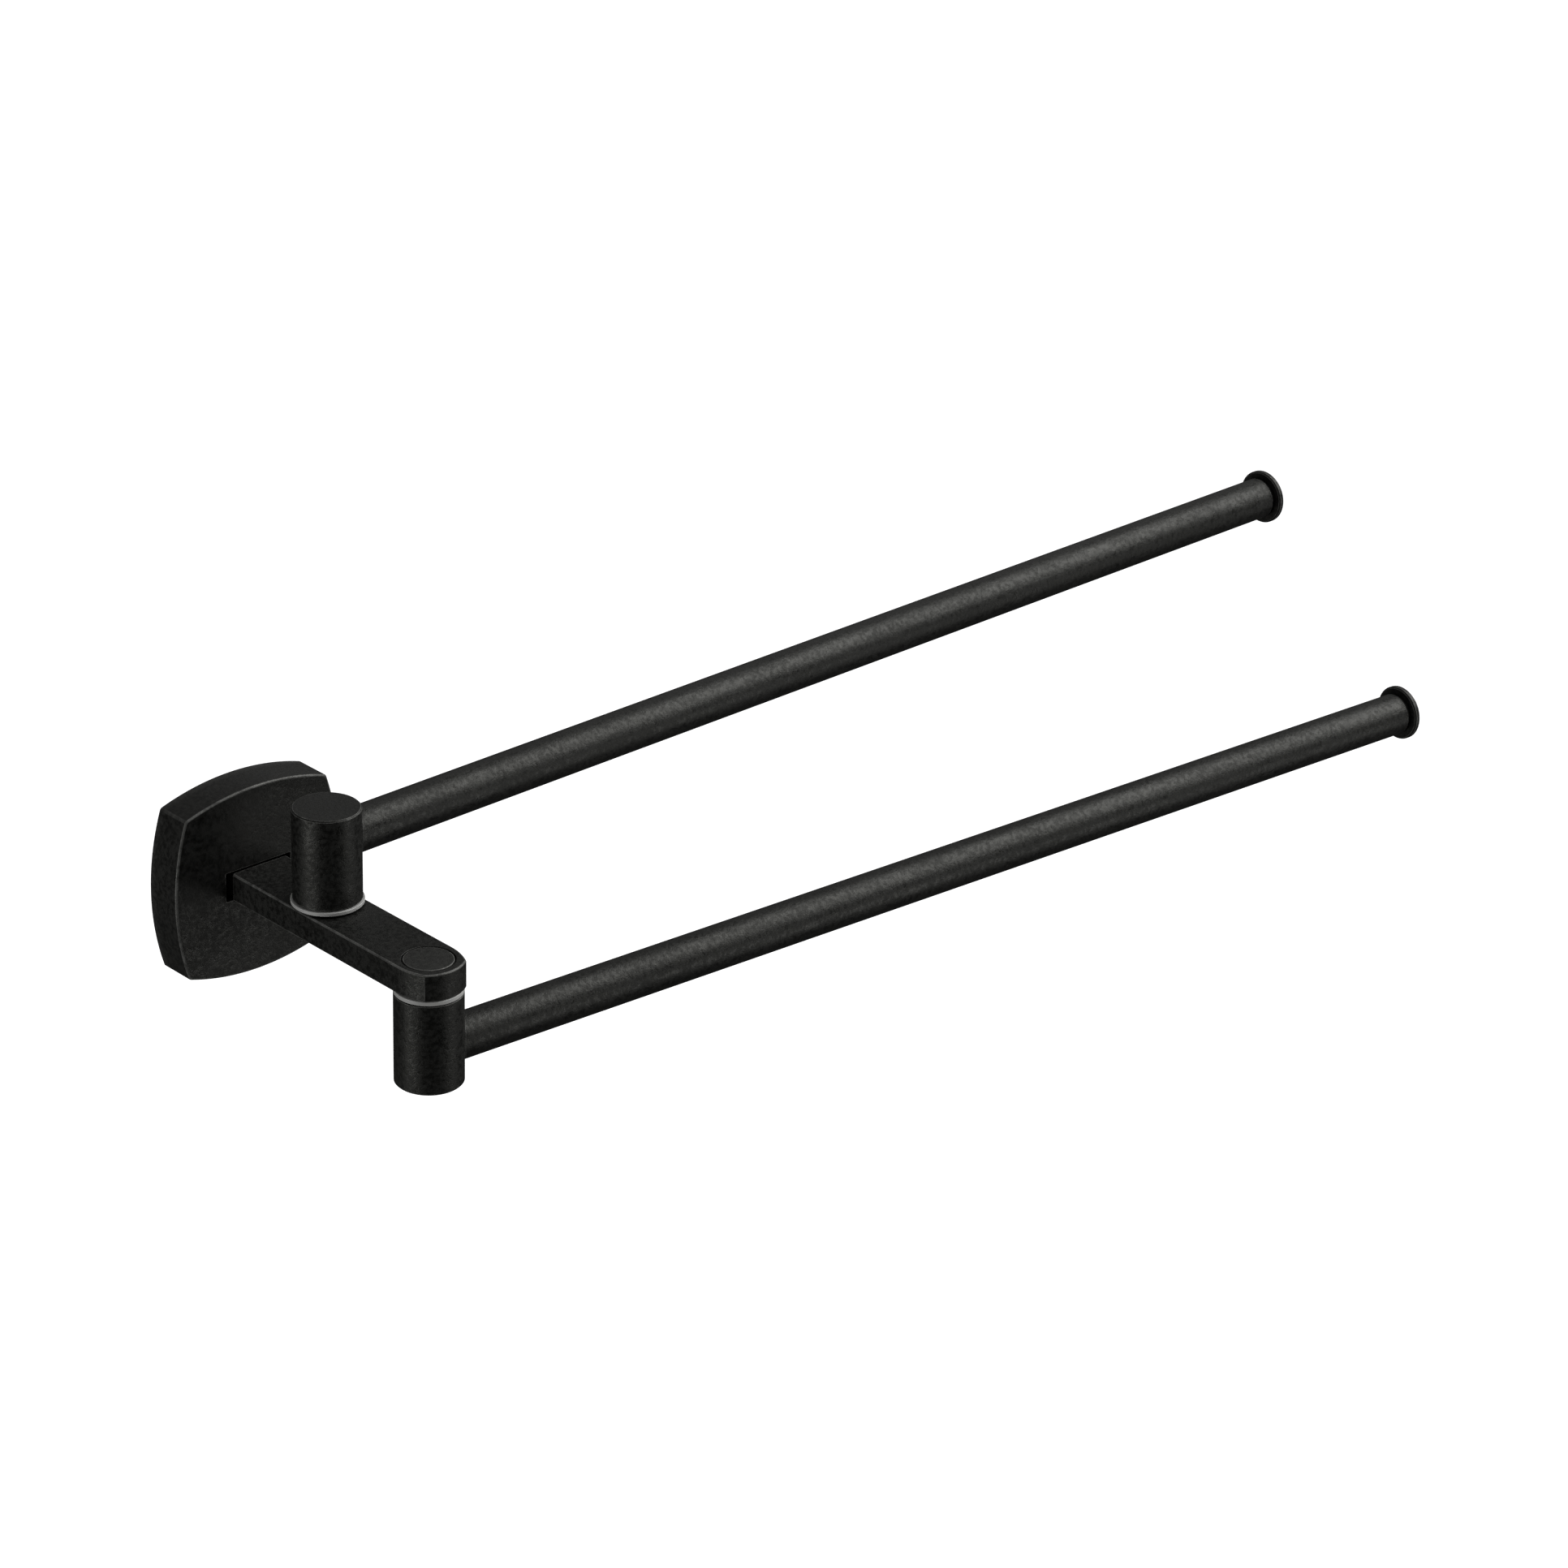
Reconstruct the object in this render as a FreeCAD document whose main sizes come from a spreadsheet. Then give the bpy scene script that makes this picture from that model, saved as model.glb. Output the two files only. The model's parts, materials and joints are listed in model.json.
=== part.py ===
import FreeCAD, Part
import Sketcher
import math
import os
import re

# A swivel towel rack: a plate on the wall, a fixed arm, and two bars that swing on the arm.
# The wall is the plane y = 0 and the rack stands out from it towards -Y, with +Z up.
# The origin is the middle of the plate's back. At rest the bars point along +X.

# Each size: its name, its value in millimetres (or degrees), and what it is.
DIMENSIONS = [
    # wall plate: a hollow cover with four bowed sides
    ("plate_width", 70.4, "wall plate across the middle of its bowed sides"),
    ("plate_bow", 5.0, "bow of each side between the plate's corners"),
    ("plate_depth", 14.6, "wall plate front face from the wall"),
    ("plate_wall", 2.2, "thickness of the wall plate's metal"),
    ("plate_corner_round", 1.6, "radius of the wall plate's four corners"),
    ("plate_edge_round", 0.7, "radius of the wall plate's front edge"),
    ("opening_side_gap", 2.2, "gap beside the arm in the plate's opening"),
    ("opening_top_gap", 0.3, "gap above and below the arm in the plate's opening"),
    ("hanger_width", 20.0, "rib inside the plate that hangs on the bracket"),
    ("hanger_depth", 5.0, "the hanger rib from front to back"),
    ("hanger_gap", 0.2, "gap between the hanger rib and the bracket's top lip"),
    # wall bracket: pressed steel with a lip at the top and the bottom
    ("bracket_gap", 3.0, "bracket's sides inside the plate's wall at its corners"),
    ("bracket_thickness", 3.0, "wall bracket's steel"),
    ("lip_width", 24.0, "bracket's lips, side to side"),
    ("lip_gap", 2.4, "between the bracket's lips and the inside of the plate's front"),
    ("lip_thickness", 2.5, "bracket's lips, top to bottom"),
    ("wall_screw_margin", 5.5, "wall screw holes' axes from the bracket's sides and from its lips"),
    ("wall_screw_hole_radius", 2.3, "wall screw holes"),
    # set screw under the plate
    ("set_screw_radius", 2.0, "set screw that locks the plate"),
    ("set_screw_hole_gap", 0.05, "round the set screw in its hole"),
    ("set_screw_inset", 0.7, "set screw's end below the plate's underside"),
    ("set_screw_margin", 3.2, "set screw's axis behind the bottom lip's front edge"),
    ("set_screw_boss_radius", 3.4, "boss round the set screw inside the plate"),
    ("set_screw_socket_radius", 1.1, "hexagon socket of the set screw, across its corners"),
    ("set_screw_socket_depth", 1.8, "depth of the set screw's socket"),
    # arm foot: a flange inside the plate with a neck that carries the arm
    ("foot_margin_x", 6.0, "foot's flange inside the bracket's width, each side"),
    ("foot_margin_z", 4.4, "foot's flange beyond the arm's top and bottom"),
    ("foot_thickness", 4.0, "foot's flange, front to back"),
    ("neck_inset_x", 1.2, "neck inside the arm's section, each side"),
    ("neck_inset_z", 0.7, "neck inside the arm's section, top and bottom"),
    # arm
    ("arm_width", 23.4, "arm, side to side"),
    ("arm_height", 10.2, "arm, top to bottom"),
    ("arm_standoff", 0.2, "arm's back end in front of the plate's face"),
    ("arm_edge_round", 0.6, "radius of the arm's top and bottom edges"),
    ("arm_corner_round", 1.2, "radius of the arm's upright corners"),
    ("tip_start", 2.0, "where the arm's sides start to close in, behind the lower pivot"),
    ("tip_shoulder", 8.9, "corners of the arm's tip in front of the lower pivot"),
    ("tip_closing", 2.7, "corners of the arm's tip inside its straight sides"),
    ("tip_bow", 3.1, "bow of the arm's end between its corners"),
    # screw and dowels that hold the bracket, the foot and the arm together
    ("arm_bolt_radius", 2.5, "arm bolt"),
    ("arm_bolt_gap", 0.2, "round the arm bolt in the bracket and the foot"),
    ("arm_bolt_head_radius", 4.8, "arm bolt's countersunk head"),
    ("arm_bolt_head_height", 2.3, "arm bolt's countersunk head, front to back"),
    ("arm_bolt_grip", 12.0, "arm bolt's thread inside the arm"),
    ("arm_bolt_socket_radius", 1.7, "hexagon socket of the arm bolt, across its corners"),
    ("arm_bolt_socket_depth", 1.6, "depth of the arm bolt's socket"),
    ("bolt_end_gap", 1.5, "left free past the end of a bolt or dowel"),
    ("back_inset", 0.2, "bolt head and dowels behind the bracket's back face"),
    ("dowel_radius", 1.5, "dowels beside the arm bolt"),
    ("dowel_cover_ratio", 2.0, "metal outside each dowel, over the metal between it and the bolt's head"),
    ("dowel_grip", 6.0, "dowels inside the arm"),
    # pivots
    ("upper_pivot_reach", 53.5, "upper pivot's axis from the wall"),
    ("lower_pivot_reach", 108.0, "lower pivot's axis from the wall"),
    ("pivot_radius", 3.0, "pivot screw's shoulder"),
    ("running_gap", 0.05, "round the shoulder in the bush"),
    ("bush_wall", 1.15, "bush that the shoulder turns in"),
    ("pivot_head_radius", 5.5, "pivot screw's head"),
    ("pivot_head_height", 2.2, "pivot screw's head"),
    ("head_room", 0.6, "round the pivot screw's head in the arm"),
    ("spring_washer_thickness", 0.6, "spring washer under the pivot screw's head"),
    ("washer_bore_gap", 0.3, "round the shoulder in a washer"),
    ("pivot_socket_radius", 2.3, "hexagon socket of the pivot screw, across its corners"),
    ("pivot_socket_depth", 1.6, "depth of the pivot screw's socket"),
    ("pivot_thread_radius", 2.5, "pivot screw's thread"),
    ("pivot_thread_length", 9.0, "pivot screw's thread"),
    ("shoulder_seat_depth", 1.0, "seat of the pivot screw's shoulder in the barrel"),
    ("cap_margin", 2.5, "arm's metal beside the groove round the cap"),
    ("cap_thickness", 1.6, "cap over the pivot screw"),
    ("cap_groove", 0.45, "groove round the cap"),
    ("cap_floor_gap", 0.3, "between the cap and the floor of its recess in the arm"),
    ("cap_stem_gap", 0.09, "between the cap's stem and the flats of the pivot screw's socket"),
    ("cap_stem_grip", 1.2, "cap's stem inside the socket"),
    # rings between the arm and the barrels
    ("spacer_inset", 0.55, "dark spacer's edge inside the barrel's"),
    ("spacer_thickness", 0.9, "dark spacer under the upper washer"),
    ("upper_washer_overhang", 0.65, "pale washer's edge outside the upper barrel's"),
    ("upper_washer_thickness", 1.3, "pale washer under the upper barrel"),
    ("lower_washer_thickness", 1.5, "pale washer over the lower barrel"),
    # barrels
    ("barrel_radius", 12.05, "barrel"),
    ("barrel_length", 34.0, "barrel along its pivot"),
    ("barrel_edge", 0.5, "bevel at the barrel's two ends"),
    ("bar_cover", 4.6, "barrel between the bar and its end away from the arm"),
    # bars
    ("upper_bar_length", 480.5, "upper pivot's axis to the bar's far end"),
    ("lower_bar_length", 463.7, "lower pivot's axis to the bar's far end"),
    ("upper_rest_angle", 1.43, "upper bar turned towards the wall at rest"),
    ("lower_rest_angle", -3.29, "lower bar turned away from the wall at rest"),
    ("bar_radius", 8.0, "bar"),
    ("bar_wall", 1.2, "wall of the bar's tube"),
    ("bar_edge", 0.5, "bevel at the tube's far end"),
    ("socket_floor", 5.5, "floor of the bar's socket in the barrel, from the pivot's axis"),
    ("stud_radius", 3.0, "stud that joins the bar to the barrel"),
    ("stud_in_barrel", 9.5, "stud inside the barrel"),
    ("stud_in_plug", 14.0, "stud inside the root plug"),
    ("root_plug_length", 20.0, "plug in the tube's near end"),
    # end caps
    ("flange_overhang", 2.5, "end cap's flange outside the bar"),
    ("flange_thickness", 2.6, "end cap's flange"),
    ("flange_edge", 0.6, "bevel round the flange"),
    ("groove_depth", 0.8, "end cap's neck inside the bar's surface"),
    ("groove_width", 1.2, "groove between the tube and the flange"),
    ("spigot_length", 14.0, "end cap inside the tube"),
]
NAMES = {name for name, _, _ in DIMENSIONS}

doc = FreeCAD.newDocument("TowelRack")
sheet = doc.addObject("Spreadsheet::Sheet", "Dims")
for row, (name, size, meaning) in enumerate(DIMENSIONS, start=1):
    sheet.set(f"A{row}", name)
    sheet.set(f"B{row}", str(size))
    sheet.setAlias(f"B{row}", name)
    sheet.set(f"C{row}", meaning)
doc.recompute()

pieces = []


# ---- helpers: expressions, sketches and features ----

def from_sheet(expression):
    """The expression with every size's name pointed at its cell."""
    def point(word):
        return "Dims." + word.group() if word.group() in NAMES else word.group()
    return re.sub(r"[a-z_]+", point, expression)


def value(expression):
    """What the expression comes to with the sizes in the sheet."""
    return float(sheet.evalExpression(from_sheet(expression)))


def bind(feature, path, expression):
    feature.setExpression(path, from_sheet(expression))


def new_body(label):
    body = doc.addObject("PartDesign::Body", label)
    body.Label = label
    pieces.append(body)
    return body


def attach(feature, body, role, offset=("0", "0", "0")):
    """Lays the feature on one of the body's origin planes, shifted along that plane's axes.
    On XZ_Plane the axes are X, Z and -Y."""
    plane = next(item for item in body.Origin.OriginFeatures if item.Role == role)
    feature.AttachmentSupport = [(plane, "")]
    feature.MapMode = "FlatFace"
    for axis, distance in zip("xyz", offset):
        bind(feature, f"AttachmentOffset.Base.{axis}", distance)


def draw_outline(sketch, corners, bows=None):
    """A closed outline, counterclockwise through the corners, which are pairs of expressions.
    bows gives the radius of each edge that bows outwards, by the corner that the edge starts from."""
    bows = bows or {}
    points = [FreeCAD.Vector(value(across), value(up), 0) for across, up in corners]
    normal = FreeCAD.Vector(0, 0, 1)
    for i, start in enumerate(points):
        end = points[(i + 1) % len(points)]
        if i not in bows:
            sketch.addGeometry(Part.LineSegment(start, end), False)
            continue
        radius = value(bows[i])
        chord = end - start
        inward = normal.cross(chord).normalize()
        centre = (start + end) / 2 + inward * math.sqrt(radius**2 - (chord.Length / 2)**2)
        first = math.atan2(start.y - centre.y, start.x - centre.x)
        last = math.atan2(end.y - centre.y, end.x - centre.x)
        circle = Part.Circle(centre, normal, radius)
        turn = (last - first) % (2 * math.pi)
        sketch.addGeometry(Part.ArcOfCircle(circle, first, first + turn), False)
    for i, corner in enumerate(corners):
        sketch.addConstraint(Sketcher.Constraint("Coincident", i, 2, (i + 1) % len(corners), 1))
        for kind, expression in zip(("DistanceX", "DistanceY"), corner):
            constraint = sketch.addConstraint(Sketcher.Constraint(kind, -1, 1, i, 1, value(expression)))
            bind(sketch, f"Constraints[{constraint}]", expression)
    for i, expression in bows.items():
        constraint = sketch.addConstraint(Sketcher.Constraint("Radius", i, value(expression)))
        bind(sketch, f"Constraints[{constraint}]", expression)


def pad(body, name, role, corners, length, bows=None, lift="0"):
    sketch = body.newObject("Sketcher::SketchObject", name + "_sketch")
    attach(sketch, body, role, ("0", "0", lift))
    draw_outline(sketch, corners, bows)
    feature = body.newObject("PartDesign::Pad", name)
    feature.Profile = sketch
    bind(feature, "Length", length)
    return feature


def block(half_width, half_height, middle="0"):
    """The corners of a rectangle centred across, with its middle at the given height."""
    low, high = f"{middle} - ({half_height})", f"{middle} + ({half_height})"
    return [(f"-({half_width})", low), (half_width, low), (half_width, high), (f"-({half_width})", high)]


def pocket(body, name, role, corners, depth, bows=None, lift="0"):
    """Cuts the outline along the plane's normal, and makes sure that something was cut."""
    doc.recompute()
    before = body.Shape.Volume
    sketch = body.newObject("Sketcher::SketchObject", name + "_sketch")
    attach(sketch, body, role, ("0", "0", lift))
    draw_outline(sketch, corners, bows)
    feature = body.newObject("PartDesign::Pocket", name)
    feature.Profile = sketch
    feature.Reversed = True
    bind(feature, "Length", depth)
    doc.recompute()
    if not body.Shape.Volume < before:
        raise RuntimeError(name + " cut nothing")
    return feature


def cylinder(body, name, role, offset, radius, length, cut=False):
    """A round bar added to the body, or a round hole cut in it, along the plane's normal."""
    kind = "Subtractive" if cut else "Additive"
    feature = body.newObject(f"PartDesign::{kind}Cylinder", name)
    attach(feature, body, role, offset)
    bind(feature, "Radius", radius)
    bind(feature, "Height", length)
    return feature


def hexagon_socket(body, name, role, offset, radius, depth):
    feature = body.newObject("PartDesign::SubtractivePrism", name)
    attach(feature, body, role, offset)
    feature.Polygon = 6
    bind(feature, "Circumradius", radius)
    bind(feature, "Height", depth)
    return feature


def turned(label, role, profile, axis):
    """A body turned from a half profile round one axis of the sketch: V_Axis is up, H_Axis across."""
    body = new_body(label)
    sketch = body.newObject("Sketcher::SketchObject", label + "_profile")
    attach(sketch, body, role)
    draw_outline(sketch, profile)
    feature = body.newObject("PartDesign::Revolution", label + "_turning")
    feature.Profile = sketch
    feature.ReferenceAxis = (sketch, [axis])
    feature.Angle = 360
    return body


def round_edges(body, name, radius, chosen):
    """Rounds the body's edges for which chosen(edge) is true."""
    doc.recompute()
    edges = [f"Edge{i}" for i, edge in enumerate(body.Shape.Edges, start=1) if chosen(edge)]
    base = body.Tip
    feature = body.newObject("PartDesign::Fillet", name)
    feature.Base = (base, edges)
    bind(feature, "Radius", radius)
    return feature


def near(a, b):
    return abs(a - b) < 0.001


# ---- wall bracket, arm foot, arm, and the wall plate over them ----

BRACKET_HALF = "(plate_width / 2 - plate_bow - plate_wall - bracket_gap)"
LIP_DEPTH = "(plate_depth - plate_wall - lip_gap)"
SET_SCREW_REACH = f"({LIP_DEPTH} - set_screw_margin)"
FOOT_FRONT = "(bracket_thickness + foot_thickness)"
ARM_BACK = "(plate_depth + arm_standoff)"
DOWEL_METAL = "(arm_width / 2 - neck_inset_x - arm_bolt_head_radius - 2 * dowel_radius)"
DOWEL_OFFSET = f"(arm_bolt_head_radius + {DOWEL_METAL} / (1 + dowel_cover_ratio) + dowel_radius)"
TIP_HALF_WIDTH = "(arm_width / 2 - tip_closing)"


def make_wall_bracket():
    body = new_body("wall_bracket")
    pad(body, "bracket_plate", "XZ_Plane", block(BRACKET_HALF, BRACKET_HALF), "bracket_thickness")
    for name, side in (("top_lip", "1"), ("bottom_lip", "-1")):
        middle = f"{side} * ({BRACKET_HALF} - lip_thickness / 2)"
        pad(body, name, "XZ_Plane", block("lip_width / 2", "lip_thickness / 2", middle), LIP_DEPTH)
    for across in (-1, 1):
        for up in (-1, 1):
            place = (f"{across} * ({BRACKET_HALF} - wall_screw_margin)",
                     f"{up} * ({BRACKET_HALF} - lip_thickness - wall_screw_margin)", "0")
            cylinder(body, f"wall_screw_hole_{(across + 1) + (up + 1) // 2}", "XZ_Plane", place,
                     "wall_screw_hole_radius", "bracket_thickness", cut=True)
    cylinder(body, "bolt_hole", "XZ_Plane", ("0", "0", "0"), "arm_bolt_radius + arm_bolt_gap",
             "bracket_thickness", cut=True)
    countersink = body.newObject("PartDesign::SubtractiveCone", "countersink")
    attach(countersink, body, "XZ_Plane", ("0", "0", "back_inset"))
    bind(countersink, "Radius1", "arm_bolt_head_radius")
    bind(countersink, "Radius2", "arm_bolt_radius")
    bind(countersink, "Height", "arm_bolt_head_height")
    cylinder(body, "head_recess", "XZ_Plane", ("0", "0", "0"), "arm_bolt_head_radius", "back_inset", cut=True)
    drill_for_dowels(body, "0", "bracket_thickness")


def drill_for_dowels(body, start, depth):
    for side, name in ((-1, "left_dowel_hole"), (1, "right_dowel_hole")):
        cylinder(body, name, "XZ_Plane", (f"{side} * {DOWEL_OFFSET}", "0", start),
                 "dowel_radius", depth, cut=True)


def make_arm_foot():
    body = new_body("arm_foot")
    flange = block(f"{BRACKET_HALF} - foot_margin_x", "arm_height / 2 + foot_margin_z")
    pad(body, "foot_flange", "XZ_Plane", flange, "foot_thickness", lift="bracket_thickness")
    section = block("arm_width / 2 - neck_inset_x", "arm_height / 2 - neck_inset_z")
    pad(body, "neck", "XZ_Plane", section, f"{ARM_BACK} - {FOOT_FRONT}", lift=FOOT_FRONT)
    length = f"{ARM_BACK} - bracket_thickness"
    cylinder(body, "bolt_hole", "XZ_Plane", ("0", "0", "bracket_thickness"), "arm_bolt_radius + arm_bolt_gap",
             length, cut=True)
    drill_for_dowels(body, "bracket_thickness", length)


def make_arm():
    """The arm's outline seen from above: straight sides that close in to a blunt, bowed end."""
    body = new_body("arm")
    half = "arm_width / 2"
    bend = "-(lower_pivot_reach - tip_start)"
    corner = "-(lower_pivot_reach + tip_shoulder)"
    outline = [(half, f"-{ARM_BACK}"), (f"-{half}", f"-{ARM_BACK}"), (f"-{half}", bend),
               (f"-{TIP_HALF_WIDTH}", corner), (TIP_HALF_WIDTH, corner), (half, bend)]
    side_bow = "(tip_closing^2 + (tip_start + tip_shoulder)^2) / (2 * tip_closing)"
    end_bow = f"({TIP_HALF_WIDTH}^2 + tip_bow^2) / (2 * tip_bow)"
    pad(body, "arm_bar", "XY_Plane", outline, "arm_height", bows={2: side_bow, 3: end_bow, 4: side_bow},
        lift="-arm_height / 2")

    def at_corner(edge):
        upright = near(edge.BoundBox.ZLength, value("arm_height"))
        return upright and not near(edge.CenterOfMass.y, value(bend))
    round_edges(body, "corner_rounds", "arm_corner_round", at_corner)
    round_edges(body, "edge_rounds", "arm_edge_round", lambda edge: near(edge.BoundBox.ZLength, 0))

    cylinder(body, "bolt_thread", "XZ_Plane", ("0", "0", ARM_BACK), "arm_bolt_radius",
             "arm_bolt_grip + bolt_end_gap", cut=True)
    drill_for_dowels(body, ARM_BACK, "dowel_grip")
    for pivot in PIVOTS:
        drill_for_pivot(body, pivot)


def make_wall_plate():
    body = new_body("wall_plate")

    def squircle(inset):
        """Four corners, and the radius of the four bows, for the outline drawn in by the inset.
        A bowed side drawn in keeps its centre, so the new corners are where the smaller bows cross."""
        radius = "(((plate_width / 2 - plate_bow)^2 + plate_bow^2) / (2 * plate_bow))"
        centre = f"({radius} - plate_width / 2)"
        smaller = f"({radius} - {inset})"
        reach = f"((sqrt(2 * {smaller}^2 - {centre}^2) - {centre}) / 2)"
        corners = [(f"-{reach}", f"-{reach}"), (reach, f"-{reach}"), (reach, reach), (f"-{reach}", reach)]
        return corners, {i: smaller for i in range(4)}

    outer, outer_bows = squircle("0")
    inner, inner_bows = squircle("plate_wall")
    pad(body, "plate_block", "XZ_Plane", outer, "plate_depth", bows=outer_bows)
    round_edges(body, "plate_corners", "plate_corner_round",
                lambda edge: near(edge.BoundBox.YLength, value("plate_depth")))

    def on_front(edge):
        return near(edge.BoundBox.YLength, 0) and near(edge.CenterOfMass.y, -value("plate_depth"))
    round_edges(body, "plate_front_edge", "plate_edge_round", on_front)
    pocket(body, "plate_hollow", "XZ_Plane", inner, "plate_depth - plate_wall", bows=inner_bows)
    opening = block("arm_width / 2 + opening_side_gap", "arm_height / 2 + opening_top_gap")
    pocket(body, "arm_opening", "XZ_Plane", opening, "plate_depth")

    lip_top = f"({BRACKET_HALF} + hanger_gap)"
    wall_middle = "(plate_width / 2 - plate_wall / 2)"
    rib = block("hanger_width / 2", f"({wall_middle} - {lip_top}) / 2", f"({wall_middle} + {lip_top}) / 2")
    pad(body, "hanger_rib", "XZ_Plane", rib, "hanger_depth", lift="plate_depth - plate_wall - hanger_depth")
    cylinder(body, "set_screw_boss", "XY_Plane", ("0", f"-{SET_SCREW_REACH}", f"-{wall_middle}"),
             "set_screw_boss_radius", f"{wall_middle} - {lip_top}")
    cylinder(body, "set_screw_hole", "XY_Plane", ("0", f"-{SET_SCREW_REACH}", "-plate_width / 2"),
             "set_screw_radius + set_screw_hole_gap", f"plate_width / 2 - {BRACKET_HALF}", cut=True)


def make_plate_set_screw():
    """Its end presses up on the bracket's bottom lip, and its socket is just inside the plate's underside."""
    body = new_body("plate_set_screw")
    start = ("0", f"-{SET_SCREW_REACH}", "-plate_width / 2 + set_screw_inset")
    cylinder(body, "set_screw", "XY_Plane", start, "set_screw_radius",
             f"plate_width / 2 - set_screw_inset - {BRACKET_HALF}")
    hexagon_socket(body, "set_screw_socket", "XY_Plane", start, "set_screw_socket_radius",
                   "set_screw_socket_depth")


def make_arm_bolt():
    end = f"-({ARM_BACK} + arm_bolt_grip)"
    back = "-back_inset"
    neck = "-(back_inset + arm_bolt_head_height)"
    profile = [("0", end), ("arm_bolt_radius", end), ("arm_bolt_radius", neck),
               ("arm_bolt_head_radius", back), ("0", back)]
    body = turned("arm_bolt", "XY_Plane", profile, "V_Axis")
    hexagon_socket(body, "arm_bolt_socket", "XZ_Plane", ("0", "0", "back_inset"),
                   "arm_bolt_socket_radius", "arm_bolt_socket_depth")


def make_arm_dowels():
    """Two straight pins through the bracket, the foot and the arm's back end."""
    rods = []
    for side, name in ((-1, "left_dowel"), (1, "right_dowel")):
        rod = doc.addObject("Part::Cylinder", name)
        bind(rod, "Radius", "dowel_radius")
        bind(rod, "Height", f"{ARM_BACK} + dowel_grip - bolt_end_gap - back_inset")
        rod.Placement = FreeCAD.Placement(FreeCAD.Vector(), FreeCAD.Rotation(FreeCAD.Vector(1, 0, 0), 90))
        bind(rod, "Placement.Base.x", f"{side} * {DOWEL_OFFSET}")
        bind(rod, "Placement.Base.y", "-back_inset")
        rods.append(rod)
    group = doc.addObject("Part::Compound", "arm_dowels")
    group.Links = rods
    pieces.append(group)


# ---- pivots: each barrel turns on one side of the arm, and its screw's head sits in the other side ----

class Pivot:
    """One pivot. side is 1 where the barrel is above the arm and -1 where it hangs below it."""

    def __init__(self, name, side, rings):
        self.name = name
        self.side = side
        self.reach = f"{name}_pivot_reach"
        self.rings = rings
        self.bar_length = f"{name}_bar_length"
        self.rest_angle = f"{name}_rest_angle"

    def up(self, distance):
        """A distance from the arm's middle plane towards the barrel, as a height."""
        return f"{self.side} * ({distance})"

    def profile(self, points):
        """A half profile given from the arm's middle plane towards the barrel, kept counterclockwise."""
        corners = [(across, self.up(distance)) for across, distance in points]
        return corners if self.side > 0 else corners[::-1]

    def place(self, body, turning):
        """Puts a body made round the Z axis on this pivot, turned to the rest angle if it swings."""
        bind(body, "Placement.Base.y", f"-{self.reach}")
        if turning:
            turn = FreeCAD.Rotation(FreeCAD.Vector(0, 0, 1), value(self.rest_angle))
            body.Placement = FreeCAD.Placement(FreeCAD.Vector(), turn)
            bind(body, "Placement.Rotation.Angle", self.rest_angle)


# The rings between the arm and each barrel: their names, radii and thicknesses.
PIVOTS = [
    Pivot("upper", 1, [("upper_spacer", "(barrel_radius - spacer_inset)", "spacer_thickness"),
                       ("upper_friction_washer", "(barrel_radius + upper_washer_overhang)",
                        "upper_washer_thickness")]),
    Pivot("lower", -1, [("lower_friction_washer", "barrel_radius", "lower_washer_thickness")]),
]

CAP_RADIUS = "(arm_width / 2 - cap_margin - cap_groove)"

# Heights from the arm's middle plane towards the barrel.
CAP_BACK = "(cap_thickness - arm_height / 2)"
HEAD_FRONT = f"({CAP_BACK} + pivot_head_height)"
SEAT = f"({HEAD_FRONT} + spring_washer_thickness)"
ARM_FACE = "(arm_height / 2)"


def barrel_start(pivot):
    return "(" + " + ".join([ARM_FACE] + [thickness for _, _, thickness in pivot.rings]) + ")"


def bar_height(pivot):
    return f"({barrel_start(pivot)} + barrel_length - bar_cover - bar_radius)"


def drill_for_pivot(arm, pivot):
    """The stepped hole in the arm: for the cap, the screw's head, and the bush."""
    steps = [("cap_recess", f"{CAP_RADIUS} + cap_groove", f"-{ARM_FACE}", f"{CAP_BACK} + cap_floor_gap"),
             ("head_recess", "pivot_head_radius + head_room", f"-{ARM_FACE}", SEAT),
             ("bush_bore", "pivot_radius + running_gap + bush_wall", SEAT, ARM_FACE)]
    for name, radius, start, end in steps:
        lowest = start if pivot.side > 0 else end
        cylinder(arm, f"{pivot.name}_{name}", "XY_Plane", ("0", f"-{pivot.reach}", pivot.up(lowest)),
                 radius, f"{end} - ({start})", cut=True)


def make_ring(label, pivot, inner, outer, start, thickness, turning=False):
    end = f"({start} + {thickness})"
    profile = pivot.profile([(inner, start), (outer, start), (outer, end), (inner, end)])
    pivot.place(turned(label, "XZ_Plane", profile, "V_Axis"), turning)


def make_pivot_rings(pivot):
    """The bush in the arm, the spring washer under the head, and the rings under the barrel."""
    bore = "pivot_radius + washer_bore_gap"
    make_ring(f"{pivot.name}_pivot_bush", pivot, "pivot_radius + running_gap",
              "pivot_radius + running_gap + bush_wall", SEAT, f"({ARM_FACE} - {SEAT})")
    make_ring(f"{pivot.name}_spring_washer", pivot, bore, "pivot_head_radius", HEAD_FRONT,
              "spring_washer_thickness", turning=True)
    start = ARM_FACE
    for label, radius, thickness in pivot.rings:
        make_ring(label, pivot, bore, radius, start, thickness)
        start = f"({start} + {thickness})"


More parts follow.
